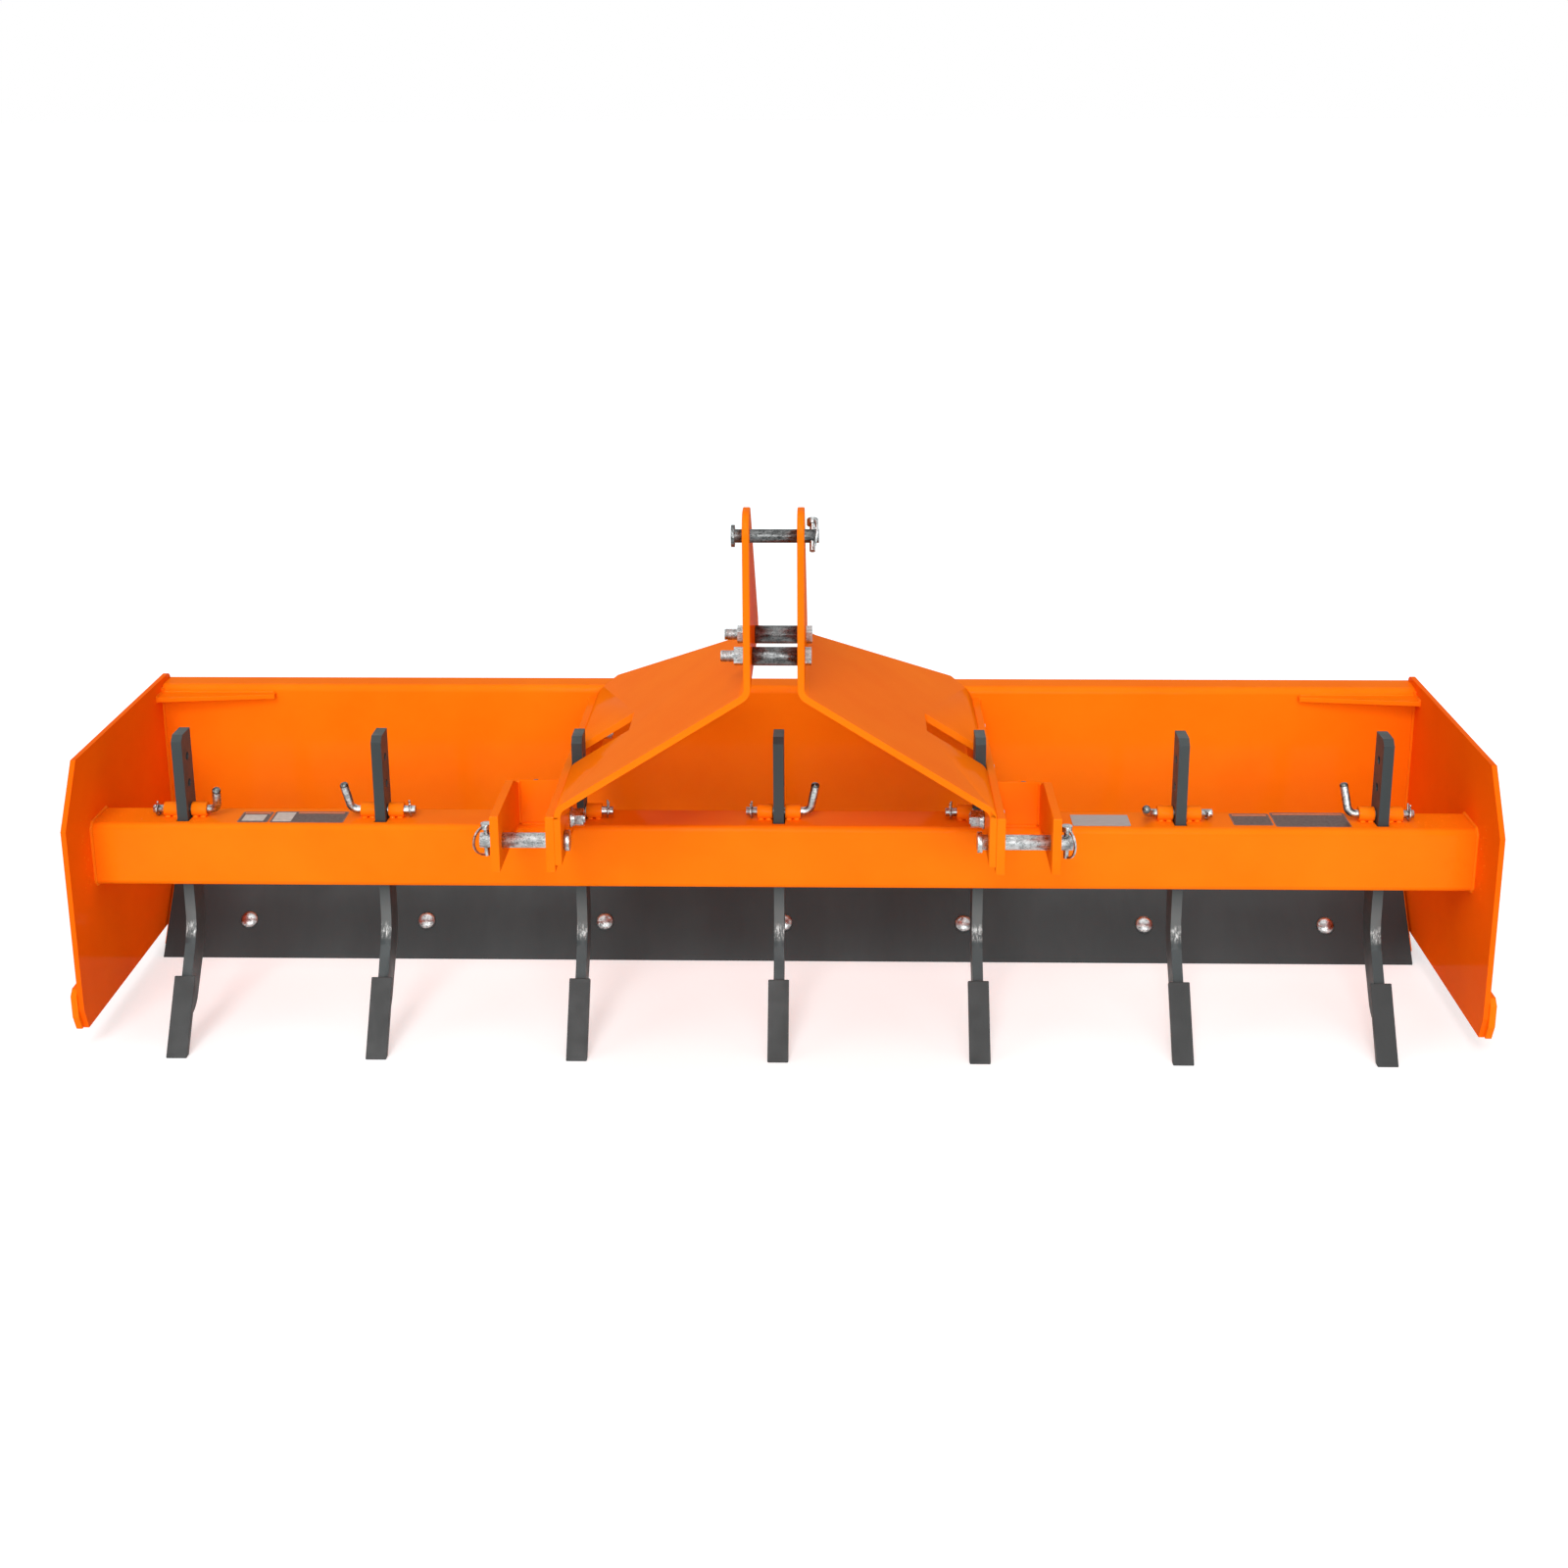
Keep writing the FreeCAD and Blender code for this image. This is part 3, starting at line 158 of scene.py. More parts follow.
# Heights on a shank between which its bend is bare, and between which painted light lightens its front: where
# each fades in and out
BARE_IN = (0.148, 0.158)
BARE_OUT = (0.166, 0.176)
LIT_BAND_IN = (0.146, 0.165)
LIT_BAND_OUT = (0.19, 0.24)

# Floor and world
FLOOR_SIZE = 80
FLOOR_COLOUR = (0.735, 0.80, 0.815, 1)
FLOOR_GLOW = 0.42
WORLD_LIGHT = 0.30
WORLD_SEEN = 1.0

# Suns: name, azimuth it comes from (0 is the hitch side, positive to the right), elevation, strength, width
LIGHTS = (
    ("key", -12, 42, 0.95, 18),
    ("front", 4, 12, 1.80, 45),
    ("left", -70, 25, 0.50, 40),
    ("right", 70, 25, 0.30, 40),
    ("over", 0, 80, 0.60, 50),
)


def srgb(red, green, blue):
    """A colour read off the photograph's scale of 255, as linear light."""
    def linear(value):
        value /= 255
        return value / 12.92 if value <= 0.04045 else ((value + 0.055) / 1.055) ** 2.4
    return (linear(red), linear(green), linear(blue), 1)


# Materials

def any_ray(tree, *rays):
    """An output that is 1 for the named kinds of ray and 0 for all others."""
    path = tree.nodes.new("ShaderNodeLightPath")
    seen = path.outputs[rays[0]]
    for ray in rays[1:]:
        most = tree.nodes.new("ShaderNodeMath")
        most.operation = "MAXIMUM"
        tree.links.new(seen, most.inputs[0])
        tree.links.new(path.outputs[ray], most.inputs[1])
        seen = most.outputs[0]
    return seen


class Shader:
    """A material's nodes, with short calls to add and join them."""

    def __init__(self, name):
        self.material = bpy.data.materials.new(name)
        self.material.use_nodes = True
        self.tree = self.material.node_tree
        self.body = self.tree.nodes["Principled BSDF"]
        self.where = self.node("ShaderNodeTexCoord").outputs["Object"]

    def node(self, kind, **settings):
        made = self.tree.nodes.new(kind)
        for key, value in settings.items():
            setattr(made, key, value)
        return made

    def join(self, start, end):
        self.tree.links.new(start, end)

    def feed(self, name, value):
        """Joins an output to the shader's own input of that name."""
        self.join(value, self.body.inputs[name])

    def set(self, **values):
        """Sets inputs that are the same all over the surface."""
        for name, value in values.items():
            self.body.inputs[name.replace("_", " ").title().replace("Ior", "IOR")].default_value = value

    def noise(self, scale, detail=4, roughness=0.5, stretch=None):
        made = self.node("ShaderNodeTexNoise")
        made.inputs["Scale"].default_value = scale
        made.inputs["Detail"].default_value = detail
        made.inputs["Roughness"].default_value = roughness
        start = self.where
        if stretch:
            mapping = self.node("ShaderNodeMapping")
            mapping.inputs["Scale"].default_value = stretch
            self.join(self.where, mapping.inputs["Vector"])
            start = mapping.outputs["Vector"]
        self.join(start, made.inputs["Vector"])
        return made.outputs["Fac"]

    def spread(self, value, low=0, high=1, start=0.3, end=0.7):
        """A value from start to end, taken to the range low to high."""
        made = self.node("ShaderNodeMapRange")
        for name, number in (("From Min", start), ("From Max", end), ("To Min", low), ("To Max", high)):
            made.inputs[name].default_value = number
        self.join(value, made.inputs["Value"])
        return made.outputs["Result"]

    def blend(self, factor, first, second):
        """A mix of two colours, each given as a colour or as an output."""
        made = self.node("ShaderNodeMix", data_type="RGBA")
        self.join(factor, made.inputs["Factor"])
        for name, colour in (("A", first), ("B", second)):
            socket = [s for s in made.inputs if s.name == name and s.type == "RGBA"][0]
            if isinstance(colour, tuple):
                socket.default_value = colour
            else:
                self.join(colour, socket)
        return [s for s in made.outputs if s.type == "RGBA"][0]

    def product(self, first, second):
        """The product of two values, each given as a number or as an output."""
        made = self.node("ShaderNodeMath", operation="MULTIPLY")
        for socket, value in zip(made.inputs, (first, second)):
            if isinstance(value, (int, float)):
                socket.default_value = value
            else:
                self.join(value, socket)
        return made.outputs[0]

    def bump(self, height, distance, strength=1.0, under=None):
        made = self.node("ShaderNodeBump")
        made.inputs["Distance"].default_value = distance
        made.inputs["Strength"].default_value = strength
        self.join(height, made.inputs["Height"])
        if under:
            self.join(under, made.inputs["Normal"])
        return made.outputs["Normal"]


def orange_paint(name="orange_paint", light=srgb(255, 123, 14), deep=srgb(252, 113, 8)):
    """Gloss powder coat: a faint orange peel, broad waves and clouds of tone."""
    paint = Shader(name)
    clouds = paint.spread(paint.noise(scale=4.5, roughness=0.6))
    peel = paint.bump(paint.noise(scale=420, detail=2), distance=0.0004, strength=0.30)
    wave = paint.bump(paint.noise(scale=11, detail=2), distance=0.004, strength=0.16, under=peel)
    paint.feed("Base Color", paint.blend(clouds, light, deep))
    paint.feed("Roughness", paint.spread(paint.noise(scale=14, detail=5), 0.30, 0.42))
    paint.feed("Normal", wave)
    paint.set(specular_ior_level=0.0, coat_weight=0.06, coat_roughness=0.08)
    return paint.material


def bare_bend_and_painted_light(paint, colour):
    """The marks on a shank's front where it is bent: bare metal at the bend, and a painted highlight that
    lightens the front at and above the bend. Gives the new colour, and where it is bare metal.
    """
    place = paint.node("ShaderNodeSeparateXYZ")
    paint.join(paint.where, place.inputs[0])
    facing = paint.node("ShaderNodeSeparateXYZ")
    paint.join(paint.node("ShaderNodeNewGeometry").outputs["Normal"], facing.inputs[0])
    height = place.outputs["Z"]
    front = paint.spread(facing.outputs["Y"], 1, 0, start=-0.9, end=-0.6)
    above = paint.spread(height, 0, 1, *BARE_IN)
    below = paint.spread(height, 1, 0, *BARE_OUT)
    grain = paint.noise(scale=150, roughness=0.7, stretch=(2.2, 1, 0.7))
    streak = paint.spread(grain, start=0.46, end=0.66)
    bare = paint.product(front, paint.product(above, paint.product(below, streak)))
    colour = paint.blend(bare, colour, srgb(205, 205, 203))
    # Painted light: the front at and above the bend is made a lighter grey, as where it is lit.
    above = paint.product(front, paint.spread(height, 0, 1, *LIT_BAND_IN))
    below = paint.spread(height, 1, 0, *LIT_BAND_OUT)
    painted_light = paint.product(paint.product(above, below), 0.28)
    return paint.blend(painted_light, colour, srgb(150, 150, 148)), paint.product(bare, 0.75)


def dark_paint(name="dark_paint", bent=False, light=srgb(55, 61, 62), deep=srgb(47, 53, 54)):
    """Satin dark grey; on a bent shank, with bare metal at its bend and a painted highlight at and above it.
    """
    paint = Shader(name)
    clouds = paint.spread(paint.noise(scale=1.0, roughness=0.6, stretch=(9, 2.5, 2.5)))
    colour = paint.blend(clouds, light, deep)
    if bent:
        colour, metal = bare_bend_and_painted_light(paint, colour)
        paint.feed("Metallic", metal)
    paint.feed("Base Color", colour)
    paint.feed("Roughness", paint.spread(paint.noise(scale=30, detail=5), 0.40, 0.56))
    paint.feed("Normal", paint.bump(paint.noise(scale=480, detail=3), distance=0.0004, strength=0.35))
    paint.set(specular_ior_level=0.28)
    return paint.material


def zinc_plate(name="zinc_plate", dark=srgb(96, 97, 97), mid=srgb(150, 152, 152), light=srgb(204, 206, 206)):
    """Zinc with the cloudy, streaked grain of plated steel."""
    zinc = Shader(name)
    grain = zinc.noise(scale=150, detail=5, roughness=0.7, stretch=(0.55, 1, 1))
    cloud = zinc.spread(grain, start=0.38, end=0.62)
    spots = zinc.spread(zinc.noise(scale=330, detail=3, roughness=0.6), start=0.52, end=0.64)
    zinc.feed("Base Color", zinc.blend(zinc.product(spots, 0.7), zinc.blend(cloud, mid, light), dark))
    zinc.feed("Roughness", zinc.spread(zinc.noise(scale=110), 0.22, 0.42))
    zinc.feed("Normal", zinc.bump(zinc.noise(scale=260, roughness=0.6), distance=0.0006, strength=0.35))
    zinc.set(metallic=1.0)
    return zinc.material


def brushed_plate():
    """Aluminium for the blank plate, brushed along its length."""
    metal = Shader("brushed_plate")
    grain = metal.noise(scale=60, roughness=0.6, stretch=(1, 30, 30))
    metal.feed("Base Color", metal.blend(metal.spread(grain), srgb(140, 142, 142), srgb(176, 178, 178)))
    metal.feed("Roughness", metal.spread(grain, 0.34, 0.52))
    metal.feed("Normal", metal.bump(grain, distance=0.0002, strength=0.4))
    metal.set(metallic=0.8)
    return metal.material


def label_film(name, light, deep):
    """Printed film of a blank label, a little worn."""
    film = Shader(name)
    film.feed("Base Color", film.blend(film.spread(film.noise(scale=120, detail=5)), light, deep))
    film.feed("Roughness", film.spread(film.noise(scale=200), 0.30, 0.48))
    film.feed("Normal", film.bump(film.noise(scale=300, detail=2), distance=0.0002, strength=0.25))
    return film.material


ORANGE = orange_paint()
# A deeper, redder copy of the orange paint for the side plates: painted shade for faces turned from the
# light.
SHADED_SIDE_ORANGE = orange_paint("orange_side_painted_shade", srgb(255, 106, 8), srgb(248, 97, 5))
DARK = dark_paint()
SHANK = dark_paint("shank_paint", bent=True)
POINT = dark_paint("point_paint", light=srgb(47, 48, 48), deep=srgb(38, 39, 39))
ZINC = zinc_plate()
# A darker copy of the zinc, for the mast's spacers and top pin and the tips of the pin handles.
DARKER_ZINC = zinc_plate("darker_zinc", srgb(40, 41, 41), srgb(74, 76, 76), srgb(118, 120, 120))
SLOT_LOOKS = {"orange_paint": ORANGE, "dark_steel": DARK, "zinc": ZINC}
NODE_LOOKS = {
    "side_plate_left": SHADED_SIDE_ORANGE,
    "side_plate_right": SHADED_SIDE_ORANGE,
    "shank_points": POINT,
    "mast_spacers": DARKER_ZINC,
    "top_hitch_pin": DARKER_ZINC,
}
for number in range(1, len(SHANKS) + 1):
    NODE_LOOKS["shank_%d" % number] = SHANK


def paint_nodes():
    """Gives each CAD node its material, and its edges the small radius of a cut plate."""
    slots = {entry["node"]: entry["material_slot"] for entry in frame["record"]["subparts"]}
    for name, item in nodes.items():
        item.data.materials.clear()
        item.data.materials.append(NODE_LOOKS.get(name, SLOT_LOOKS[slots[name]]))
        merge = item.modifiers.new("weld", "WELD")
        merge.merge_threshold = 0.00002
        bevel = item.modifiers.new("edges", "BEVEL")
        bevel.width = PLATE_EDGE if name.startswith(PLATE_NODES) else FINE_EDGE
        bevel.segments = 2
        bevel.limit_method = "ANGLE"
        bevel.angle_limit = math.radians(40)
        bevel.harden_normals = True


# Shapes

def add_piece(name, shape, looks, body="frame", smooth=True):
    """Makes a piece of the scene from a shape, and says what it rides on and what it is made of."""
    bmesh.ops.recalc_face_normals(shape, faces=shape.faces)
    data = bpy.data.meshes.new(name)
    shape.to_mesh(data)
    shape.free()
    for look in looks:
        data.materials.append(look)
    if smooth:
        data.shade_smooth()
    item = bpy.data.objects.new(name, data)
    bpy.context.scene.collection.objects.link(item)
    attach(item, body)


def circle(shape, centre, side, up, radius, count):
    """A ring of points around a centre."""
    turns = [2 * math.pi * k / count for k in range(count)]
    return [shape.verts.new(centre + radius * (math.cos(t) * side + math.sin(t) * up)) for t in turns]


def bridge(shape, first, second):
    """Faces between two rings of as many points."""
    count = len(first)
    faces = []
    for k in range(count):
        after = (k + 1) % count
        faces.append(shape.faces.new((first[k], first[after], second[after], second[k])))
    return faces


def sweep(shape, path, radii, count=8, closed=False):
    """A round bar along a path, with its own radius at each point."""
    rings = []
    side = None
    last = len(path) - 1
    for i, point in enumerate(path):
        before = path[i - 1] if i or closed else point
        after = path[(i + 1) % len(path)] if i < last or closed else point
        along = (after - before).normalized()
        if side is None:
            side = along.orthogonal()
        side = (side - along * side.dot(along)).normalized()
        rings.append(circle(shape, point, side, along.cross(side), radii[i], count))
    for first, second in zip(rings, rings[1:]):
        bridge(shape, first, second)
    if closed:
        bridge(shape, rings[-1], rings[0])
    else:
        shape.faces.new(rings[0][::-1])
        shape.faces.new(rings[-1])


def rounded(points, steps):
    """A smooth curve through the points."""
    path = []
    spots = [points[0]] + points + [points[-1]]
    for i in range(1, len(spots) - 2):
        a, b, c, d = spots[i - 1:i + 3]
        for k in range(steps):
            t = k / steps
            path.append(0.5 * (2 * b + (c - a) * t + (2 * a - 5 * b + 4 * c - d) * t ** 2
                               + (3 * b - a - 3 * c + d) * t ** 3))
    return path + [points[-1]]


def dome(shape, centre, axis, profile, count):
    """A turned form: profile is pairs of radius and height along the axis, and radius 0 closes it."""
    axis = Vector(axis).normalized()
    side = axis.orthogonal().normalized()
    up = axis.cross(side)
    centre = Vector(centre)
    last = None
    for radius, height in profile:
        base = centre + axis * height
        if radius:
            ring = circle(shape, base, side, up, radius, count)
            if last:
                bridge(shape, last, ring)
            last = ring
        else:
            tip = shape.verts.new(base)
            for k in range(count):
                shape.faces.new((last[k], last[(k + 1) % count], tip))


def weld(shape, points, size, closed=False):
    """A bead laid in the corner that the points follow, with its ripples."""
    step, ripple_length, shake, swell = 0.0014, 0.0042, 0.00015, 0.04
    points = [Vector(p) for p in points]
    runs = list(zip(points, points[1:]))
    if closed:
        runs.append((points[-1], points[0]))
    path = []
    radii = []
    gone = random.random()
    for start, end in runs:
        length = (end - start).length
        steps = max(2, round(length / step))
        for k in range(steps):
            gone += length / steps
            ripple = abs(gone / ripple_length % 1 * 2 - 1)
            jitter = Vector([random.uniform(-shake, shake) for _ in range(3)])
            path.append(start.lerp(end, k / steps) + jitter)
            radii.append(size * (0.92 + 0.14 * ripple + random.uniform(-swell, swell)))
    if not closed:
        path.append(points[-1])
        radii.append(size * 0.5)
        radii[0] = size * 0.5
    sweep(shape, path, radii, 7, closed)


# Weld beads

def bushing_start(step, side):
    """Where a bushing starts beside its shank: the one behind a clevis stands outside the hitch plate."""
    return HITCH_OUT - PITCH if step * side == 1 else BUSHING_START


def add_bar_welds():
    """Around the bar's ends, and beside each bushing on its top."""
    shape = bmesh.new()
    r = BAR_CORNER
    around = ((BAR_FRONT, BAR_LOW + r), (BAR_FRONT, BAR_TOP - r), (BAR_FRONT + r, BAR_TOP),
              (BAR_REAR - r, BAR_TOP), (BAR_REAR, BAR_TOP - r), (BAR_REAR, BAR_LOW + r),
              (BAR_REAR - r, BAR_LOW), (BAR_FRONT + r, BAR_LOW))
    for s in (-1, 1):
        x = s * (SIDE_IN - 0.0004)
        weld(shape, [(x, y, z) for y, z in around], 0.0036, closed=True)
    z = BAR_TOP + 0.0008
    for step, _, _ in SHANKS:
        for s in (-1, 1):
            start = bushing_start(step, s)
            for low, high in BUSHING_STITCHES:
                inner = step * PITCH + s * (start + low)
                outer = step * PITCH + s * (start + high)
                for y in (PIN_Y - BUSHING_WELD_OFF, PIN_Y + BUSHING_WELD_OFF):
                    weld(shape, [(inner, y, z), (outer, y, z)], 0.0030)
    add_piece("welds_bar", shape, [ORANGE])


def add_hitch_welds():
    """Around each clevis on the bar, and where the hitch plates meet the moldboard."""
    shape = bmesh.new()
    z = BAR_TOP
    for s in (-1, 1):
        plate = s * HITCH_OUT
        weld(shape, [(plate, BACK_REAR + 0.001, z), (plate, BAR_REAR - 0.004, z)], 0.0038)
        weld(shape, [(s * EAR_OUT, BACK_FRONT, z), (s * EAR_OUT, BACK_REAR, z), (s * EAR_IN, BACK_REAR, z),
                     (plate, BACK_REAR, z)], 0.0038)
        weld(shape, [(s * (HITCH_OUT + 0.003), BACK_FRONT, z), (s * (EAR_IN - 0.003), BACK_FRONT, z)], 0.0032)
        for x in (HITCH_OUT, EAR_IN):
            for y, top in ((BACK_FRONT, BACK_FRONT_TOP), (BACK_REAR, BACK_REAR_TOP)):
                weld(shape, [(s * x, y, z + 0.002), (s * x, y, top)], 0.0030)
        for x in (HITCH_IN, HITCH_OUT):
            weld(shape, [(s * x, MOLD_FACE, z + 0.004), (s * x, MOLD_FACE, HITCH_REAR_TOP)], 0.0036)
    add_piece("welds_hitch", shape, [ORANGE])


def mold_profile():
    """The moldboard's front face, from its top to where the cutting edge starts."""
    lean = math.radians(EDGE_LEAN)
    slope = Vector((0, math.cos(lean), math.sin(lean)))
    middle = Vector((0, MOLD_FACE - MOLD_BEND_RADIUS, MOLD_BEND_Z))
    path = [Vector((0, MOLD_FACE, MOLD_TOP - 0.004)), Vector((0, MOLD_FACE, MOLD_BEND_Z))]
    for k in range(1, 5):
        turn = math.radians(MOLD_BEND_TURN * k / 5)
        path.append(middle + MOLD_BEND_RADIUS * Vector((0, math.cos(turn), -math.sin(turn))))
    return path + [SLOPE_FOOT + slope * SLOPE_BEND_END, SLOPE_FOOT + slope * SLOPE_EDGE_TOP]


def add_moldboard_welds():
    """Down the moldboard's ends, along the gussets, and over the skid shoes."""
    shape = bmesh.new()
    for s in (-1, 1):
        end = Vector((s * (SIDE_IN - 0.0003), 0, 0))
        weld(shape, [end + p for p in mold_profile()], 0.0036)
        for z in GUSSET_FACES:
            weld(shape, [(s * GUSSET_INNER, MOLD_FACE, z), (s * (SIDE_IN - 0.001), MOLD_FACE, z)], 0.0026)
            weld(shape, [(s * SIDE_IN, GUSSET_FRONT, z), (s * SIDE_IN, MOLD_FACE - 0.001, z)], 0.0028)
        x = s * (SIDE_OUT + 0.0002)
        for start in SHOE_STITCHES:
            weld(shape, [(x, start, SHOE_TOP), (x, start + STITCH_LENGTH, SHOE_TOP)], 0.0034)
    add_piece("welds_moldboard", shape, [ORANGE])


def add_spatter():
    """Drops of weld metal under the paint, near the beads."""
    shape = bmesh.new()

    def pick(span):
        """A random value from a range; a single number stays as it is."""
        return random.uniform(*span) if isinstance(span, tuple) else span

    def drop(point, up):
        r = random.uniform(0.0005, 0.0012)
        dome(shape, point, up, [(r, -0.0001), (r * 0.8, r * 0.35), (r * 0.4, r * 0.6), (0, r * 0.7)], 7)

    for step, _, _ in SHANKS:
        for _ in range(SPATTER_AT_SHANK):
            x = step * PITCH + random.choice((-1, 1)) * random.uniform(0.012, 0.055)
            y = random.choice((random.uniform(-0.108, -0.093), random.uniform(-0.066, -0.052)))
            drop((x, y, BAR_TOP), (0, 0, 1))
    for s in (-1, 1):
        for _ in range(SPATTER_AT_SIDE):
            for inward, y, z, up in SPATTER:
                drop((s * (SIDE_IN - pick(inward)), pick(y), pick(z)), (s * up[0], up[1], up[2]))
    add_piece("weld_spatter", shape, [ORANGE])


# Bolts, pins and clips

def add_edge_bolts():
    """Carriage bolt heads in both cutting edges."""
    shape = bmesh.new()
    for lean, foot, distance, shown in CUTTING_EDGES:
        lean = math.radians(lean)
        up = Vector((0, math.cos(lean), math.sin(lean)))
        out = Vector((0, -math.sin(lean), math.cos(lean))) * shown
        for i in range(-3, 4):
            dome(shape, Vector((i * EDGE_BOLT_PITCH, foot, 0)) + up * distance, out, BOLT_HEAD, 28)
    add_piece("edge_bolt_heads", shape, [ZINC])


def pin_point(index, point):
    """A point given in a shank pin's own frame, before the pin leans, to the part's frame."""
    step, _, lean = SHANKS[index]
    turn = math.radians(lean)
    x, y, z = point
    return Vector((step * PITCH + x, PIN_Y + y * math.cos(turn) - z * math.sin(turn),
                   PIN_Z + y * math.sin(turn) + z * math.cos(turn)))


def handle_point(index, distance):
    """A point on the straight run of a shank pin's handle, at a distance from its bend."""
    step, handle, _ = SHANKS[index]
    out = bushing_start(step, handle) + ROD_PAST_START + HANDLE_BEND_OUT + distance * math.sin(HANDLE_TILT)
    return pin_point(index, (handle * out, 0, HANDLE_BEND_UP + distance * math.cos(HANDLE_TILT)))


def hairpin_line(index):
    """The line of the clip's wire: its second leg bows away from the shank, and sways a little."""
    handle = SHANKS[index][1]
    sway = random.uniform(-HAIRPIN_SWAY, HAIRPIN_SWAY)
    line = []
    for k, (y, z) in enumerate(HAIRPIN):
        past = k - HAIRPIN_EYE
        x = -handle * (CLIP_X + HAIRPIN_BOW * max(0, min(1, past / 4)))
        line.append(pin_point(index, (x + (sway if past > 1 else 0), y, z)))
    return line


def add_pin_trim():
    """The rounded tip of each pin's handle, and the hairpin clip in its tail."""
    for index in range(len(SHANKS)):
        number = index + 1
        tip = bmesh.new()
        end = handle_point(index, HANDLE_RUN)
        dome(tip, end, end - handle_point(index, 0), HANDLE_TIP, 24)
        add_piece("handle_tip_%d" % number, tip, [DARKER_ZINC], "pin_%d" % number)

        wire = bmesh.new()
        path = rounded(hairpin_line(index), 5)
        sweep(wire, path, [HAIRPIN_WIRE] * (len(path) - 1) + [HAIRPIN_END])
        add_piece("hairpin_%d" % number, wire, [ZINC], "pin_%d" % number)


def add_threads():
    """Thread on the mast bolts' free ends."""
    shape = bmesh.new()
    for y in MAST_BOLTS_Y:
        path = []
        for k in range(THREAD_TURNS * THREAD_STEPS):
            turns = k / THREAD_STEPS
            across = THREAD_RADIUS * math.cos(2 * math.pi * turns)
            up = THREAD_RADIUS * math.sin(2 * math.pi * turns)
            path.append(Vector((THREAD_START - THREAD_PITCH * turns, y + across, MAST_BOLTS_Z + up)))
        sweep(shape, path, [THREAD_RIDGE] * len(path), 5)
    add_piece("bolt_threads", shape, [ZINC])


# Blank labels and plate

def panel(name, low, high, face, rim, form):
    """A blank panel on the bar: low and high are its corners in X and in distance behind the bar's front."""
    thick, corner, border = form
    shape = bmesh.new()

    def outline(inset, z):
        r = corner - inset * 0.5
        left = low[0] + inset + r
        right = high[0] - inset - r
        front = BAR_FRONT + low[1] + inset + r
        rear = BAR_FRONT + high[1] - inset - r
        ring = []
        for x, y, start in ((right, rear, 0), (left, rear, 90), (left, front, 180), (right, front, 270)):
            for k in range(CORNER_POINTS):
                turn = math.radians(start + 90 * k / (CORNER_POINTS - 1))
                ring.append(shape.verts.new((x + r * math.cos(turn), y + r * math.sin(turn), BAR_TOP + z)))
        return ring

    rings = [outline(0, 0), outline(0, thick), outline(border, thick),
             outline(border + PANEL_STEP_IN, thick + PANEL_STEP_UP)]
    for first, second in zip(rings, rings[1:]):
        for strip in bridge(shape, first, second):
            strip.material_index = 1
    shape.faces.new(rings[-1])
    add_piece(name, shape, [face, rim], smooth=False)


def add_panels():
    """The labels are left blank, with plain bands and fields where the photograph's carry print."""
    film = label_film("label_film", srgb(40, 34, 32), srgb(54, 46, 42))
    rim = label_film("label_border", srgb(150, 84, 50), srgb(120, 66, 40))
    metal = brushed_plate()
    field = label_film("label_field", srgb(196, 186, 178), srgb(176, 166, 158))
    band = label_film("label_band", srgb(206, 104, 44), srgb(184, 90, 38))
    for name, low, high, look in (
        ("label_1_band", (-0.831, 0.045), (-0.791, 0.051), band),
        ("label_1_field", (-0.829, 0.016), (-0.795, 0.041), field),
        ("label_2_band", (-0.748, 0.047), (-0.676, 0.053), band),
        ("label_2_field", (-0.781, 0.014), (-0.752, 0.052), field),
        ("label_3_band", (0.698, 0.054), (0.751, 0.060), band),
        ("label_4_band", (0.761, 0.059), (0.868, 0.065), band),
    ):
        panel(name, low, high, look, look, PRINT)
    for name, low, high in (
        ("label_1", (-0.835, 0.010), (-0.787, 0.054)),
        ("label_2", (-0.785, 0.010), (-0.670, 0.056)),
        ("label_3", (0.694, 0.016), (0.755, 0.064)),
        ("label_4", (0.757, 0.011), (0.872, 0.069)),
    ):
        panel(name, low, high, film, rim, LABEL)
    panel("blank_plate", (0.449, 0.011), (0.537, 0.055), metal, metal, PLATE)


# Floor, lights and camera

def add_floor():
    """A pale floor that shows white to the camera and keeps the blade's shadow."""
    bpy.ops.mesh.primitive_plane_add(size=FLOOR_SIZE, location=(0, 0, 0))
    floor = bpy.context.object
    floor.name = "floor"
    look = Shader("floor")
    look.set(base_color=FLOOR_COLOUR, roughness=0.9, specular_ior_level=0.0)
    glow = look.node("ShaderNodeEmission")
    seen = any_ray(look.tree, "Is Camera Ray", "Is Glossy Ray")
    look.join(look.product(seen, FLOOR_GLOW), glow.inputs["Strength"])
    add = look.node("ShaderNodeAddShader")
    look.join(look.body.outputs[0], add.inputs[0])
    look.join(glow.outputs[0], add.inputs[1])
    look.join(add.outputs[0], look.tree.nodes["Material Output"].inputs["Surface"])
    floor.data.materials.append(look.material)


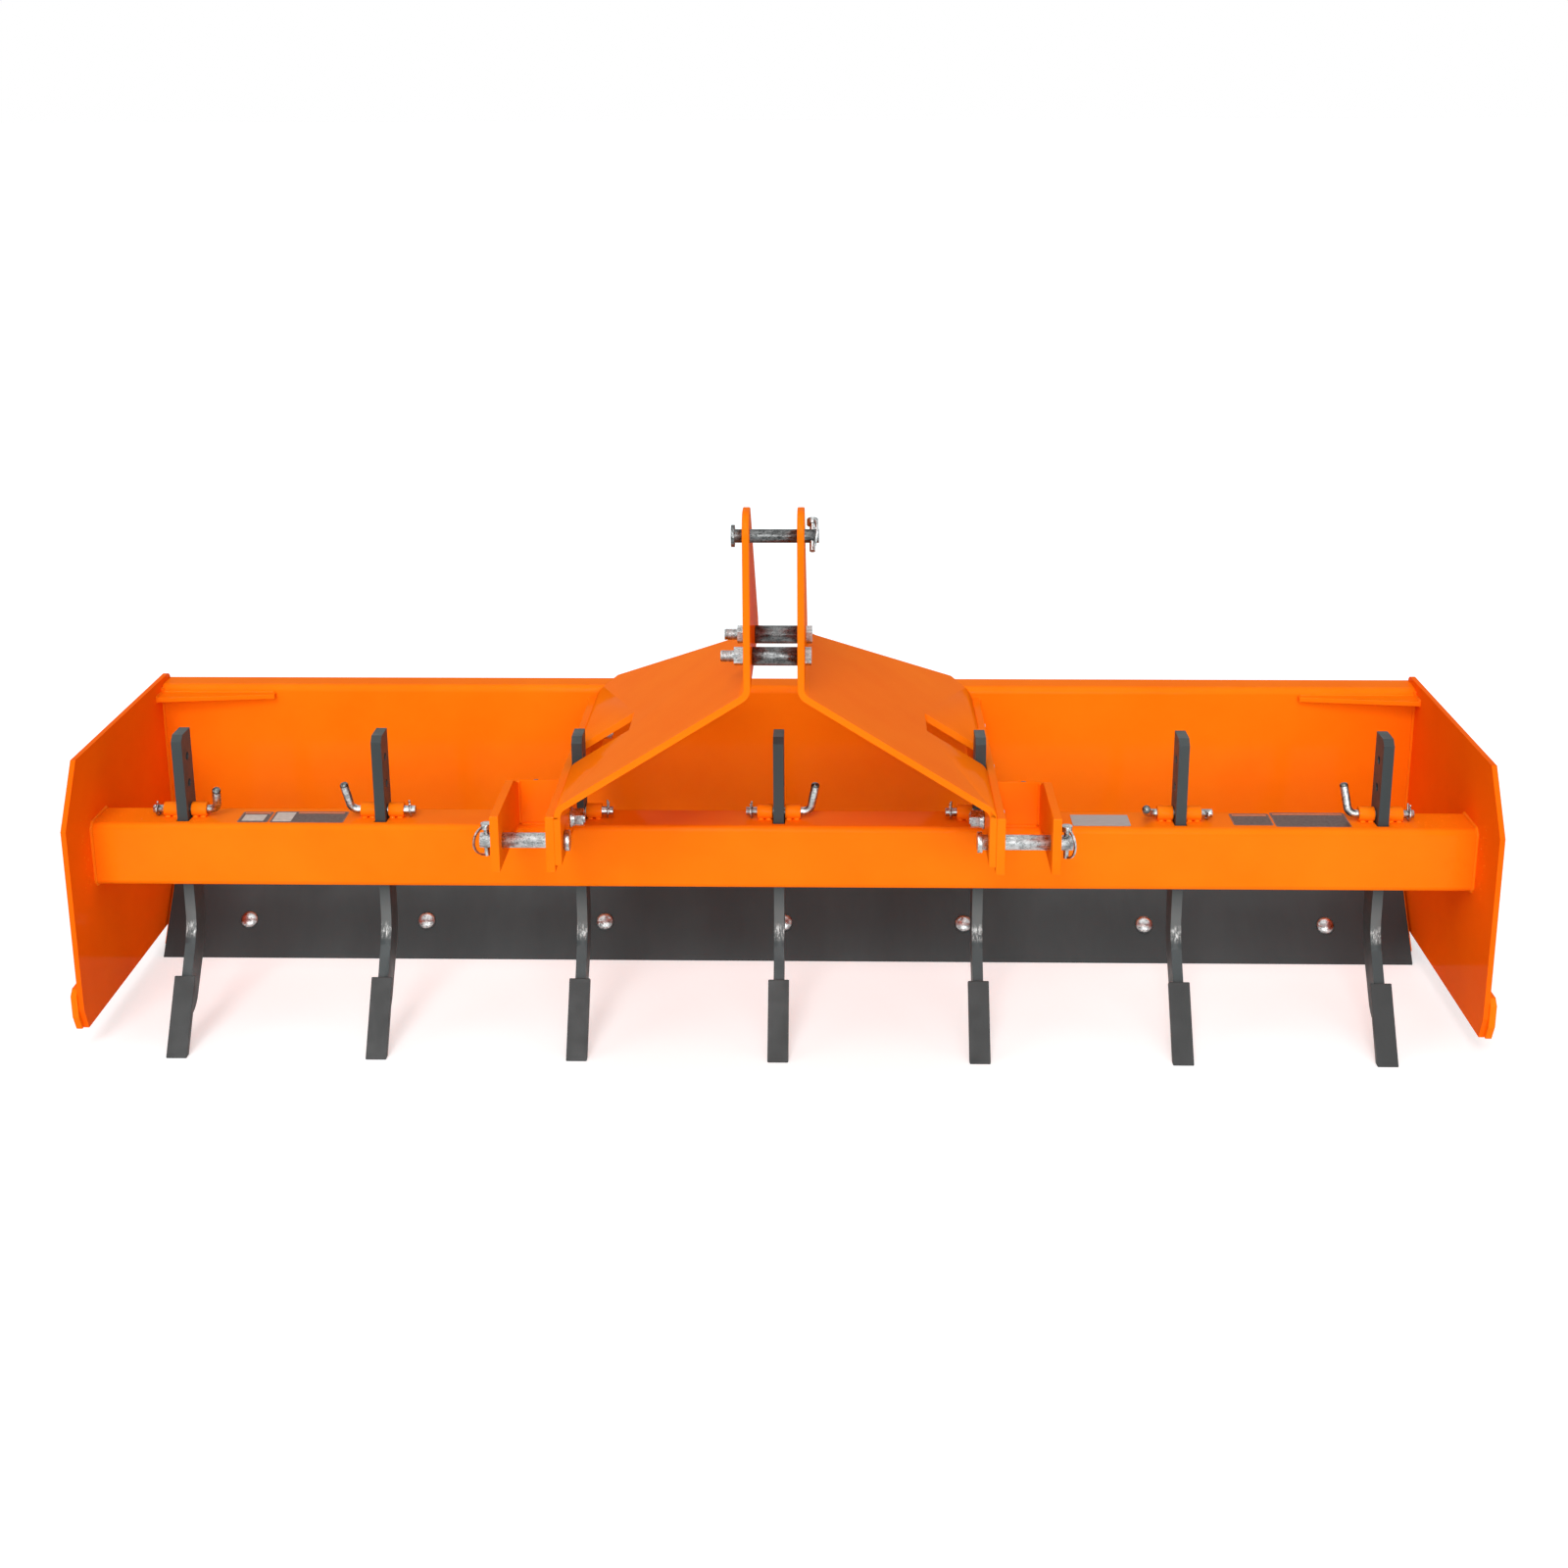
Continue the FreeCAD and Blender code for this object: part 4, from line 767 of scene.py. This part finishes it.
def add_world():
    """A white surround that is seen at full strength and lights the blade with less."""
    world = bpy.data.worlds.new("studio")
    bpy.context.scene.world = world
    world.use_nodes = True
    tree = world.node_tree
    back = tree.nodes["Background"]
    back.inputs["Color"].default_value = (1, 1, 1, 1)
    level = tree.nodes.new("ShaderNodeMapRange")
    level.inputs["To Min"].default_value = WORLD_LIGHT
    level.inputs["To Max"].default_value = WORLD_SEEN
    seen = any_ray(tree, "Is Camera Ray", "Is Transmission Ray", "Is Glossy Ray")
    tree.links.new(seen, level.inputs["Value"])
    tree.links.new(level.outputs["Result"], back.inputs["Strength"])


def add_lights():
    """Broad suns, which light every view of the blade alike."""
    for name, azimuth, elevation, strength, width in LIGHTS:
        data = bpy.data.lights.new(name, "SUN")
        data.energy = strength
        data.angle = math.radians(width)
        lamp = bpy.data.objects.new(name, data)
        a = math.radians(azimuth)
        e = math.radians(elevation)
        place = Vector((math.sin(a) * math.cos(e), -math.cos(a) * math.cos(e), math.sin(e))) * 5
        lamp.location = place
        lamp.rotation_euler = (-place).to_track_quat("-Z", "Y").to_euler()
        bpy.context.scene.collection.objects.link(lamp)


def add_camera():
    """The photograph's camera, found from the blade's own straight lines and known sizes."""
    # turn to the left, tilt down, and roll, in radians
    yaw, pitch, roll = 0.0253, 0.2634, -0.0049
    data = bpy.data.cameras.new("camera")
    data.sensor_width = 36
    data.lens = 46.046
    data.shift_y = -0.125
    camera = bpy.data.objects.new("camera", data)
    camera.location = (0.0826, BAR_FRONT - 2.8553, 1.4880)
    ahead = Vector((-math.sin(yaw) * math.cos(pitch), math.cos(yaw) * math.cos(pitch), -math.sin(pitch)))
    level = Vector((math.cos(yaw), math.sin(yaw), 0))
    upright = level.cross(ahead)
    right = math.cos(roll) * level + math.sin(roll) * upright
    up = math.cos(roll) * upright - math.sin(roll) * level
    camera.rotation_euler = Matrix((right, up, -ahead)).transposed().to_euler()
    bpy.context.scene.collection.objects.link(camera)
    bpy.context.scene.camera = camera


paint_nodes()
add_bar_welds()
add_hitch_welds()
add_moldboard_welds()
add_spatter()
add_edge_bolts()
add_pin_trim()
add_threads()
add_panels()
add_floor()
add_world()
add_lights()
add_camera()
bpy.context.scene.view_settings.view_transform = "Standard"
